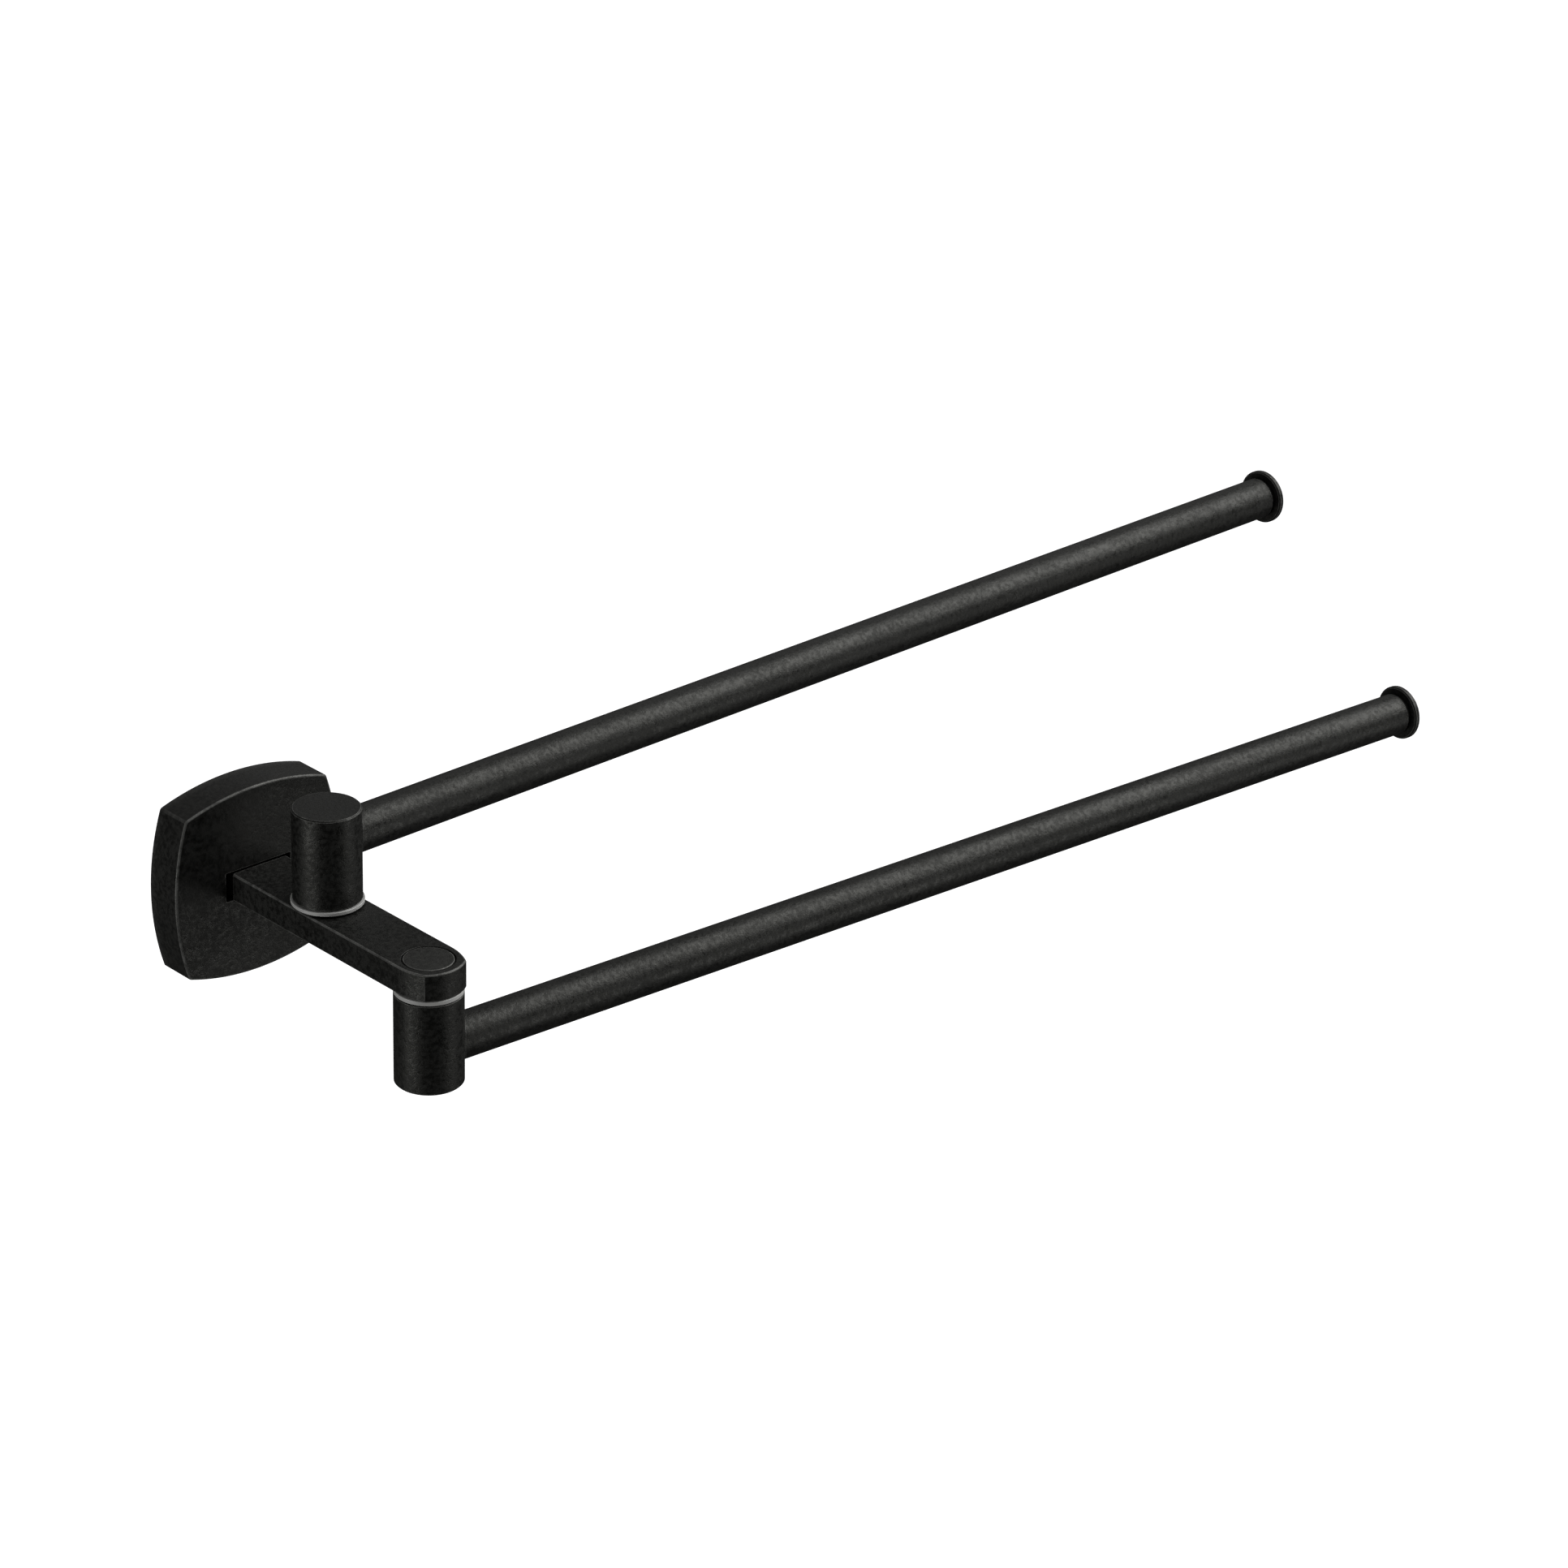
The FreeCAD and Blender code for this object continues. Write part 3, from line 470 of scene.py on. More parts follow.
def make_fillet(bar, points=96):
    _, _, bar_radius = measure(bar.name + "_bar_tube", bar.root, bar.axis)
    _, _, barrel_radius = measure(bar.name + "_barrel", bar.pivot, UP)
    sideways = np.cross(UP, bar.axis)
    angle = np.linspace(0, 2 * math.pi, points, endpoint=False)[:, None]
    to_side, up = bar_radius * np.sin(angle), bar_radius * np.cos(angle)
    forward = np.sqrt(barrel_radius ** 2 - to_side ** 2)
    corner = bar.root + forward * bar.axis + to_side * sideways + up * UP
    following = unit(np.roll(corner, -1, axis=0) - np.roll(corner, 1, axis=0))
    out_of_bar = unit(to_side * sideways + up * UP)
    out_of_barrel = unit(forward * bar.axis + to_side * sideways)
    along_bar = np.cross(out_of_bar, following)
    along_barrel = np.cross(following, out_of_barrel)
    along_bar *= np.sign(along_bar @ bar.axis)[:, None]
    along_barrel *= np.sign(np.sum(along_barrel * out_of_bar, axis=-1))[:, None]
    share = np.linspace(0, 1, 7)[:, None, None]
    face = corner + FILLET_REACH * ((1 - share) ** 2 * along_bar + share ** 2 * along_barrel)
    root = corner - FILLET_ROOT * unit(along_bar + along_barrel)
    piece = ring_object(f"{bar.name}_coat_fillet", [(np.concatenate([face, root[None]]), True)])
    finish_piece(piece, bar.body, None)
    return piece


fillets = [make_fillet(bar) for bar in bars]

# %% [markdown]
# ## Washers, spacer and pivot caps
# Between the arm and each barrel lies a pale plastic washer, which the barrel turns on. A dark spacer
# lifts the upper one. On the arm's other side a flat disc covers the pivot screw's head, with a fine
# groove left round it. Each could be a plain cylinder, but a small rounding on the outer edges is what
# catches the light, so all are turned from a profile. The rings' bore stays clear of the pivot screw.

# %% Rings round the pivots
WASHER_BORE = 3.3 * MM
RING_ROUND = 0.2 * MM
CAP_ROUND = 0.3 * MM
CAP_STEM_RADIUS = 1.9 * MM
CAP_THICKNESS = 1.6 * MM


def make_ring(name, node, pivot):
    low, high, radius = measure(node, pivot, UP)
    profile = rounded([(low, WASHER_BORE), (high, WASHER_BORE), (high, radius), (low, radius)],
                      [0, 0, RING_ROUND, RING_ROUND])
    piece = ring_object(name, [(turned(profile, pivot, UP), True)])
    finish_piece(piece, "bracket", node)
    return piece


def make_pivot_disc(bar):
    """The disc's face is level with the arm's face that is away from the barrel, and its stem points
    back."""
    axis = UP * bar.side
    face, stem_end, radius = measure(bar.name + "_pivot_cap", bar.pivot, axis)
    back = face + CAP_THICKNESS
    profile = rounded([(face, 0), (face, radius), (back, radius), (back, CAP_STEM_RADIUS),
                       (stem_end, CAP_STEM_RADIUS), (stem_end, 0)], [0, CAP_ROUND, SKIN_ROUND, 0, 0, 0])
    piece = ring_object(f"{bar.name}_pivot_disc", [(turned(profile, bar.pivot, axis), False)])
    finish_piece(piece, bar.body, f"{bar.name}_pivot_cap")
    return piece


upper, lower = bars
pale_rings = [make_ring("upper_washer_ring", "upper_friction_washer", upper.pivot),
              make_ring("lower_washer_ring", "lower_friction_washer", lower.pivot)]
spacer = make_ring("upper_spacer_ring", "upper_spacer", upper.pivot)
pivot_discs = [make_pivot_disc(bar) for bar in bars]

# %% [markdown]
# ## The arm
# The arm is milled from flat bar. Seen from above, its sides run straight out from the plate, close in
# along two arcs from the lower pivot on, and meet a bowed end. Small arcs take off its four upright
# corners. Half of that outline is worked out here, and mirrored. The rings are the outline at rising
# heights, drawn in by r (1 - cos t) at r (1 - sin t) from each face, which is a quarter circle. The top
# and bottom are rings too, which close in on the arm's middle line, like the contours of a roof with no
# height.

# %% The arm's outline
ARM_CORNER = 1.2 * MM
ARM_EDGE = 0.6 * MM
TIP_START = 2.0 * MM
TIP_CLOSING = 2.7 * MM
TIP_BOW = 3.1 * MM
POINT_STEP = 1.0 * MM
BOW_STEPS = 9
TIP_CORNER_STEPS = 5
CLOSING_STEPS = 10
BACK_CORNER_STEPS = 6
BACK_POINTS = 10


def circles_meet(first, first_radius, second, second_radius):
    """The meeting point of two circles with the larger x: Pythagoras gives how far it is along the line
    between their centres, and how far to the side."""
    between = second - first
    distance = np.linalg.norm(between)
    along = (first_radius ** 2 - second_radius ** 2 + distance ** 2) / (2 * distance)
    side = np.array([between[1], -between[0]]) / distance
    offset = math.sqrt(first_radius ** 2 - along ** 2)
    choices = [first + between / distance * along + side * offset * sign for sign in (-1, 1)]
    return max(choices, key=lambda place: place[0])


def arm_outline():
    """Counterclockwise seen from above, starting at the middle of the tip: half of it, then its mirror
    image."""
    low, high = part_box("arm")
    half, back, tip = high[0], high[1], low[1]
    bend = lower.pivot[1] + TIP_START
    corner_y = tip + TIP_BOW
    corner_x = half - TIP_CLOSING
    side_radius = (TIP_CLOSING ** 2 + (bend - corner_y) ** 2) / (2 * TIP_CLOSING)
    end_radius = (corner_x ** 2 + TIP_BOW ** 2) / (2 * TIP_BOW)
    side_centre = np.array([half - side_radius, bend])
    end_centre = np.array([0, tip + end_radius])
    fillet = circles_meet(side_centre, side_radius - ARM_CORNER, end_centre, end_radius - ARM_CORNER)
    to_end, to_side = fillet - end_centre, fillet - side_centre
    end_angle = math.atan2(to_end[1], to_end[0])
    side_angle = math.atan2(to_side[1], to_side[0])
    back_centre = (half - ARM_CORNER, back - ARM_CORNER)
    steps = round((back - bend) / POINT_STEP)
    straight = np.column_stack([np.full(steps + 1, half),
                                np.linspace(bend, back - ARM_CORNER, steps + 1)])
    across = np.linspace(half - ARM_CORNER, 0, BACK_POINTS)
    right = np.concatenate([
        arc(end_centre, end_radius, -math.pi / 2, end_angle, BOW_STEPS),
        arc(fillet, ARM_CORNER, end_angle, side_angle, TIP_CORNER_STEPS)[1:],
        arc(side_centre, side_radius, side_angle, 0, CLOSING_STEPS)[1:],
        straight[1:],
        arc(back_centre, ARM_CORNER, 0, math.pi / 2, BACK_CORNER_STEPS)[1:],
        np.column_stack([across, np.full(BACK_POINTS, back)])[1:]])
    left = right[-2:0:-1] * [-1, 1]
    return np.concatenate([right, left])


def drawn_in(outline, distance):
    """Each point moved inwards, square to the line between its neighbours."""
    along = unit(np.roll(outline, -1, axis=0) - np.roll(outline, 1, axis=0))
    return outline + distance * np.stack([-along[:, 1], along[:, 0]], axis=-1)


outline = arm_outline()
print("arm outline:", len(outline), "points, size in mm:", (np.ptp(outline, axis=0) / MM).round(2))

# %% [markdown]
# Under the cap the real arm has a stepped hole for each pivot: wide for the cap, narrower for the
# screw's head, and narrow for the bush. They show only when a cap is off, but they are made all the
# same, because the thin groove round the cap is the gap between its disc and the widest step. The mouth
# of that step flares a little, as the coat's rounded edge does.

# %% The arm's surface, with its stepped holes
EDGE_STEPS = 6
LID_SHARES = [0.05, 0.12, 0.22, 0.35, 0.5, 0.65, 0.8, 1]
CAP_RECESS_RADIUS = 9.2 * MM
CAP_RECESS_DEPTH = 1.9 * MM
MOUTH_ROUND = 0.25 * MM
HEAD_RECESS_RADIUS = 6.1 * MM
BUSH_RADIUS = 4.2 * MM
BUSH_LENGTH = 5.8 * MM
BOLT_RADIUS = 2.5 * MM
BOLT_HOLE = 13.5 * MM
DOWEL_RADIUS = 1.5 * MM
DOWEL_HOLE = 6.0 * MM
PAST_FACE = 1.0 * MM


def arm_rings():
    """The arm from its underside's middle line, out to the edge, up its sides and in over its top."""
    low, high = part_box("arm")
    top = high[2]
    turn = np.linspace(0, math.pi / 2, EDGE_STEPS + 1)
    insets = ARM_EDGE * (1 - np.cos(turn))
    heights = top - ARM_EDGE * (1 - np.sin(turn))
    side = np.linspace(-heights[0], heights[0], 5)[1:-1]
    rings = [np.column_stack([drawn_in(outline, inset), np.full(len(outline), -height)])
             for inset, height in zip(insets[::-1], heights[::-1])]
    rings += [np.column_stack([outline, np.full(len(outline), height)]) for height in side]
    rings += [np.column_stack([drawn_in(outline, inset), np.full(len(outline), height)])
              for inset, height in zip(insets, heights)]
    spine = np.zeros_like(rings[0])
    spine[:, 1] = np.clip(outline[:, 1], low[1] + high[0], high[1] - high[0])
    shares = np.array([GUARD / high[0], *LID_SHARES])[:, None, None]
    lid = rings[-1] + shares * (spine + [0, 0, top] - rings[-1])
    floor = lid * [1, 1, -1]
    return np.concatenate([floor[::-1], np.stack(rings), lid])


def pivot_hole(bar):
    """The drill's shape, from outside the cap's face: a mouth that flares by a quarter circle, the
    recess for the cap, the recess for the screw's head, and the bore for the bush, out of the other
    face."""
    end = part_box("arm")[1][2]
    face = -end
    quarter = np.linspace(0, math.pi / 2, 5)
    start = [(face - PAST_FACE, 0), (face - PAST_FACE, CAP_RECESS_RADIUS + MOUTH_ROUND)]
    mouth = np.column_stack([face + MOUTH_ROUND * (1 - np.cos(quarter)),
                             CAP_RECESS_RADIUS + MOUTH_ROUND * (1 - np.sin(quarter))])
    steps = [(face + CAP_RECESS_DEPTH, CAP_RECESS_RADIUS), (face + CAP_RECESS_DEPTH, HEAD_RECESS_RADIUS),
             (end - BUSH_LENGTH, HEAD_RECESS_RADIUS), (end - BUSH_LENGTH, BUSH_RADIUS),
             (end + PAST_FACE, BUSH_RADIUS), (end + PAST_FACE, 0)]
    return turned(np.concatenate([start, mouth, steps]), bar.pivot, UP * bar.side)


def back_holes():
    """Blind holes in the arm's back end: the bolt's in the middle, and a dowel's on each side of it."""
    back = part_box("arm")[1][1]
    dowel_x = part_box("arm_dowels")[1][0] - DOWEL_RADIUS
    holes = [(0.0, BOLT_RADIUS, BOLT_HOLE), (-dowel_x, DOWEL_RADIUS, DOWEL_HOLE),
             (dowel_x, DOWEL_RADIUS, DOWEL_HOLE)]
    return [(turned([(-PAST_FACE, 0), (-PAST_FACE, radius), (depth, radius), (depth, 0)],
                    np.array([x, back, 0.0]), -INTO_WALL, points=48), False)
            for x, radius, depth in holes]


arm = ring_object("arm_bar", [(arm_rings(), False)])
for bar in bars:
    combine(arm, [(pivot_hole(bar), False)], "DIFFERENCE")
combine(arm, back_holes(), "DIFFERENCE")
finish_piece(arm, "bracket", "arm")

# %% [markdown]
# ## The wall plate
# The plate is pressed from thin metal: a square with bowed sides, hollow behind, with a slot that the
# arm's neck comes through. Each side is an arc of one large circle, and a small arc joins it to the
# next side. Drawn in, a side keeps its centre and its radius gets smaller. One closed section makes the
# whole shell: up the outside, round the front edge, across the front, in through the slot, back across
# the inside of the front and down the inside of the wall. Between the bowed outline and the slot the
# rings blend evenly from one to the other, which works because both have the same number of points
# along each side and round each corner.

# %% Two outlines with matching points
PLATE_BOW = 5.0 * MM
PLATE_CORNER = 1.6 * MM
INNER_CORNER = 0.4 * MM
SIDE_STEPS = 36
CORNER_STEPS = 6


def four_times(quarter):
    """A quarter of an outline, and the same turned by 90, 180 and 270 degrees."""
    turn = np.array([[0, 1], [-1, 0]])
    return np.concatenate([quarter @ np.linalg.matrix_power(turn, times) for times in range(4)])


def bowed_square(half, inset, corner):
    """A side's circle passes through the middle of the side and its two corners. Its corner arc's
    centre lies on the diagonal, as far from the side's centre as the two radii differ."""
    radius = ((half - PLATE_BOW) ** 2 + PLATE_BOW ** 2) / (2 * PLATE_BOW)
    behind = radius - half
    side = radius - inset
    diagonal = (math.sqrt(2 * (side - corner) ** 2 - behind ** 2) - behind) / 2
    reach = math.atan2(diagonal, diagonal + behind)
    return four_times(np.concatenate([
        arc((-behind, 0), side, -reach, reach, SIDE_STEPS),
        arc((diagonal, diagonal), corner, reach, math.pi / 2 - reach, CORNER_STEPS)[1:-1]]))


def rounded_slot(half_x, half_z, corner):
    """A unit square with its points where the bowed outline has them, then each quarter moved to its
    corner."""
    along = np.linspace(-1, 1, SIDE_STEPS + 1)
    quarter = arc((0, 0), 1, 0, math.pi / 2, CORNER_STEPS)
    side = np.column_stack([np.ones_like(along), np.zeros_like(along)])
    arcs = four_times(np.concatenate([side, quarter[1:-1]])) * corner
    signs = np.column_stack([np.ones_like(along), along])
    middles = four_times(np.concatenate([signs, np.ones((CORNER_STEPS - 1, 2))]))
    return middles * [half_x - corner, half_z - corner] + arcs


# %% [markdown]
# Now the section itself. Each ring is one of the two outlines at one distance from the wall, or a blend
# of both across the front. The front edge is a quarter circle, drawn in by r (1 - sin t) while it comes
# forward, and the slot's mouth turns in the same way with a smaller radius.

# %% The shell
PLATE_WALL = 2.2 * MM
PLATE_EDGE = 0.7 * MM
SLOT_SIDE_GAP = 2.2 * MM
SLOT_TOP_GAP = 0.3 * MM
SLOT_MOUTH = 0.3 * MM
SLOT_CORNER = 0.6 * MM
FRONT_SHARES = [0.1, 0.25, 0.4, 0.55, 0.7, 0.85]


def at_depth(flat, y):
    """Flat points of x and z, at one distance from the wall."""
    return np.column_stack([flat[:, 0], np.full(len(flat), y), flat[:, 1]])


def blend(first, last, shares):
    """Rings between two others, each at its share of the way."""
    return [first + share * (last - first) for share in shares]


def plate_rings():
    """The shell's section as rings, in the order in which it is walked: up the outside, over the front,
    in through the slot, and back along the inside."""
    low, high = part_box("wall_plate")
    half, front = high[0], low[1]
    arm_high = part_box("arm")[1]
    slot_x, slot_z = arm_high[0] + SLOT_SIDE_GAP, arm_high[2] + SLOT_TOP_GAP
    quarter = np.linspace(0, math.pi / 2, EDGE_STEPS + 1)

    outer = bowed_square(half, 0, PLATE_CORNER)
    rings = [at_depth(outer, y) for y in np.linspace(0, front + PLATE_EDGE, 5)[:-1]]
    rings += [at_depth(bowed_square(half, PLATE_EDGE * (1 - math.cos(turn)), PLATE_CORNER),
                       front + PLATE_EDGE * (1 - math.sin(turn))) for turn in quarter]
    wider = SLOT_MOUTH * (1 - np.sin(quarter))
    deeper = SLOT_MOUTH * (1 - np.cos(quarter))
    mouth = [at_depth(rounded_slot(slot_x + side, slot_z + side, SLOT_CORNER), front + depth)
             for side, depth in zip(wider, deeper)]
    guard = GUARD / (half - slot_x)
    rings += blend(rings[-1], mouth[0], [guard, *FRONT_SHARES, 1 - guard])
    rings += mouth
    slot = rounded_slot(slot_x, slot_z, SLOT_CORNER)
    rings.append(at_depth(slot, front + PLATE_WALL))
    inner = bowed_square(half, PLATE_WALL, INNER_CORNER)
    rings += blend(rings[-1], at_depth(inner, front + PLATE_WALL), [0.25, 0.5, 0.75, 1])
    rings += [at_depth(inner, y) for y in np.linspace(front + PLATE_WALL, 0, 4)[1:]]
    return np.stack(rings)


plate = ring_object("plate_shell", [(plate_rings(), True)])

# %% [markdown]
# ## Inside the plate
# A rib inside the plate hangs on the bracket's top lip, and a boss below it carries the set screw. Both
# are added to the shell with a Boolean, and the set screw's hole is drilled through the boss from
# below. The set screw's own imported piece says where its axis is.

# %% Rib, boss and hole
RIB_HALF_WIDTH = 10.0 * MM
RIB_DEPTH = 5.0 * MM
BRACKET_HALF = 25.0 * MM
HANGER_GAP = 0.2 * MM
BOSS_RADIUS = 3.4 * MM
SET_SCREW_HOLE = 2.05 * MM


def block_rings(low, high):
    """A block as four rings of four corners, the first and last of them shrunk to the middle of their
    ends."""
    middle, half = (low + high) / 2, (high - low) / 2
    corners = np.array([(1, -1), (1, 1), (-1, 1), (-1, -1)])
    square = np.column_stack([corners[:, 0] * half[0], np.zeros(4), corners[:, 1] * half[2]])
    ends = np.array([0, low[1] - middle[1], 0]), np.array([0, high[1] - middle[1], 0])
    return middle + np.stack([0 * square + ends[0], square + ends[0],
                              square + ends[1], 0 * square + ends[1]])


plate_low, plate_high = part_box("wall_plate")
wall_middle = plate_high[0] - PLATE_WALL / 2
lip_top = BRACKET_HALF + HANGER_GAP
inside_front = plate_low[1] + PLATE_WALL
rib = block_rings(np.array([-RIB_HALF_WIDTH, inside_front - GUARD, lip_top]),
                  np.array([RIB_HALF_WIDTH, inside_front + RIB_DEPTH, wall_middle]))
screw_low, screw_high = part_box("plate_set_screw")
screw_foot = np.array([0.0, (screw_low[1] + screw_high[1]) / 2, 0.0])
boss = turned([(-wall_middle, 0), (-wall_middle, BOSS_RADIUS), (-lip_top, BOSS_RADIUS), (-lip_top, 0)],
              screw_foot, UP, points=48)
hole = turned([(-plate_high[0] - PAST_FACE, 0), (-plate_high[0] - PAST_FACE, SET_SCREW_HOLE),
               (-BRACKET_HALF, SET_SCREW_HOLE), (-BRACKET_HALF, 0)], screw_foot, UP, points=48)
combine(plate, [(rib, False), (boss, False)], "UNION")
combine(plate, [(hole, False)], "DIFFERENCE")
finish_piece(plate, "bracket", "wall_plate")

# %% [markdown]
# # Finishes
# Each finish is a Principled shader, and what varies over its surface comes from nodes: colour,
# roughness and a bump. Effects that several finishes share are node groups. All of them read Object
# coordinates in metres, so a pattern keeps its real size on every piece and stays put when a bar
# swings.

# %% Helpers for nodes
def add_node(tree, kind, inputs=(), **settings):
    """A node with its settings, whose inputs are either linked from a socket or given a value."""
    node = tree.nodes.new(kind)
    for name, setting in settings.items():
        setattr(node, name, setting)
    for name, given in dict(inputs).items():
        if isinstance(given, bpy.types.NodeSocket):
            tree.links.new(given, node.inputs[name])
        else:
            node.inputs[name].default_value = given
    return node


def calculate(tree, operation, first, second=0.0, clamp=False):
    node = add_node(tree, "ShaderNodeMath", {0: first, 1: second}, operation=operation, use_clamp=clamp)
    return node.outputs[0]


def weighted(tree, first, first_share, second, second_share):
    """The sum of two values, each times its share."""
    return calculate(tree, "ADD", calculate(tree, "MULTIPLY", first, first_share),
                     calculate(tree, "MULTIPLY", second, second_share))


def noise(tree, place, per_metre, detail=3.0, roughness=0.5):
    """Soft random values between 0 and 1, with this many bumps to a metre."""
    node = add_node(tree, "ShaderNodeTexNoise",
                    {"Vector": place, "Scale": per_metre, "Detail": detail, "Roughness": roughness})
    return node.outputs["Fac"]


def spread(tree, amount, low, high, to_low=0.0, to_high=1.0):
    """The part of a value between low and high, stretched to fill another range."""
    node = add_node(tree, "ShaderNodeMapRange", {"Value": amount, "From Min": low, "From Max": high,
                                                 "To Min": to_low, "To Max": to_high})
    return node.outputs["Result"]


def mix(tree, share, first, second):
    """A colour between two others, each given as red, green and blue or as a socket."""
    node = add_node(tree, "ShaderNodeMix", {"Factor": share}, data_type="RGBA")
    for socket, given in ((node.inputs[6], first), (node.inputs[7], second)):
        if isinstance(given, bpy.types.NodeSocket):
            tree.links.new(given, socket)
        else:
            socket.default_value = (*given, 1.0)
    return node.outputs[2]


def new_group(name, inputs, outputs):
    """A shader node group with float inputs, a Vector input for places, and float outputs."""
    tree = bpy.data.node_groups.new(name, "ShaderNodeTree")
    tree.interface.new_socket(name="Vector", in_out="INPUT", socket_type="NodeSocketVector")
    for socket in inputs:
        tree.interface.new_socket(name=socket, in_out="INPUT", socket_type="NodeSocketFloat")
    for socket in outputs:
        tree.interface.new_socket(name=socket, in_out="OUTPUT", socket_type="NodeSocketFloat")
    return tree, tree.nodes.new("NodeGroupInput").outputs, tree.nodes.new("NodeGroupOutput").inputs


# %% [markdown]
# ## Three shared effects
# - Powder grain: melted powder never levels out. It leaves low swells about a millimetre wide, and a
#   finer pebble over them.
# - Patches: over some centimetres a coat is a little thicker or thinner, and hands leave it a little
#   smoother.
# - Rubbed edges: where the surface turns outwards the coat is thin and polished, but never evenly. On
#   the black coat the same mask also paints a bright highlight line along each rounded edge.

# %% Node groups
PEBBLE_RATIO = 3.7
GLOSS_PATCH_RATIO = 2.3
ELSEWHERE = (0.37, 0.11, 0.53)


def powder_grain():
    """Height is the swells and the pebble together, and Tone is the same with more contrast."""
    tree, given, out = new_group("powder_grain", ["Per Metre"], ["Height", "Tone"])
    swell = noise(tree, given["Vector"], given["Per Metre"], detail=1.0)
    finer = calculate(tree, "MULTIPLY", given["Per Metre"], PEBBLE_RATIO)
    pebble = noise(tree, given["Vector"], finer, detail=2.0, roughness=0.6)
    both = weighted(tree, swell, 0.6, pebble, 0.4)
    tree.links.new(both, out["Height"])
    tree.links.new(spread(tree, both, 0.40, 0.60), out["Tone"])
    return tree


def patches():
    """Tone and Gloss come from two separate noises, the second of them finer."""
    tree, given, out = new_group("patches", ["Per Metre"], ["Tone", "Gloss"])
    broad = noise(tree, given["Vector"], given["Per Metre"], detail=4.0)
    moved = add_node(tree, "ShaderNodeVectorMath", {0: given["Vector"], 1: ELSEWHERE}, operation="ADD")
    smaller = calculate(tree, "MULTIPLY", given["Per Metre"], GLOSS_PATCH_RATIO)
    other = noise(tree, moved.outputs[0], smaller, detail=5.0)
    tree.links.new(spread(tree, broad, 0.3, 0.7), out["Tone"])
    tree.links.new(spread(tree, other, 0.3, 0.7), out["Gloss"])
    return tree


def edge_wear_and_highlight_mask():
    """The mask is the edge value, broken up by a noise. On the black coat it also paints a highlight."""
    tree, given, out = new_group("edge_wear_and_highlight_mask", ["Edge", "Per Metre"], ["Mask"])
    broken = spread(tree, noise(tree, given["Vector"], given["Per Metre"], detail=4.0, roughness=0.65),
                    0.35, 0.65, 0.35, 1.0)
    tree.links.new(calculate(tree, "MULTIPLY", given["Edge"], broken, clamp=True), out["Mask"])
    return tree


GROUPS = {"powder_grain": powder_grain(), "patches": patches(), "edge_wear_and_highlight_mask": edge_wear_and_highlight_mask()}
print("shared node groups:", ", ".join(GROUPS))


# %% [markdown]
# Every finish starts from the same few nodes: the shader, the Object coordinates that its patterns
# read, and a Bump node for the height. Three small helpers make and link them, so that each finish
# below holds only what is its own.

# %% A material to fill in
def place_group(tree, name, **inputs):
    """A shared group's outputs, with its inputs given by name and _ for each space."""
    given = {socket.replace("_", " "): setting for socket, setting in inputs.items()}
    return add_node(tree, "ShaderNodeGroup", given, node_tree=GROUPS[name]).outputs


def new_material(name):
    """A material, its node tree, its shader, and the Object coordinates that its patterns read."""
    material = bpy.data.materials.new(name)
    material.use_nodes = True
    tree = material.node_tree
    place = tree.nodes.new("ShaderNodeTexCoord").outputs["Object"]
    return material, tree, tree.nodes["Principled BSDF"], place


def connect(tree, shader, colour, roughness, height, bump_depth):
    """Links the varying colour and roughness, and turns a height into a bump of that depth in
    metres."""
    bump = add_node(tree, "ShaderNodeBump", {"Height": height, "Distance": bump_depth, "Strength": 1.0})
    tree.links.new(colour, shader.inputs["Base Color"])
    tree.links.new(roughness, shader.inputs["Roughness"])
    tree.links.new(bump.outputs["Normal"], shader.inputs["Normal"])


# %% [markdown]
# ## The black coat
# A satin powder coat: nearly black, with a broad soft sheen. Its colour lifts a little with the grain
# and the patches, and towards a pale grey on the edges, which is partly worn coat and partly a painted
# highlight line along each rounded edge. The sheen has to stay weak, so the shader's specular level is
# below its usual half. The pivot caps get a glossier and smoother copy, whose lighter colour paints them
# brighter than the arm's shaded top.

# %% Black coat and the casting under it
COAT_TINT = (1.0, 1.0, 0.93)
# The coat's edge colour: partly worn coat, partly a painted highlight line on rounded edges.
COAT_EDGE_WEAR_AND_HIGHLIGHT = (0.26, 0.26, 0.25)
COAT_SHEEN = 0.32
GRAIN_PER_METRE = 650.0
PATCHES_PER_METRE = 26.0
EDGE_BREAKS_PER_METRE = 320.0
PATCH_ROUGHNESS = (0.40, 0.50)
GRAIN_ROUGHNESS = (-0.13, 0.13)
EDGE_WEAR_AND_HIGHLIGHT_SHARE = 0.6
RUB_SMOOTHING = 0.08


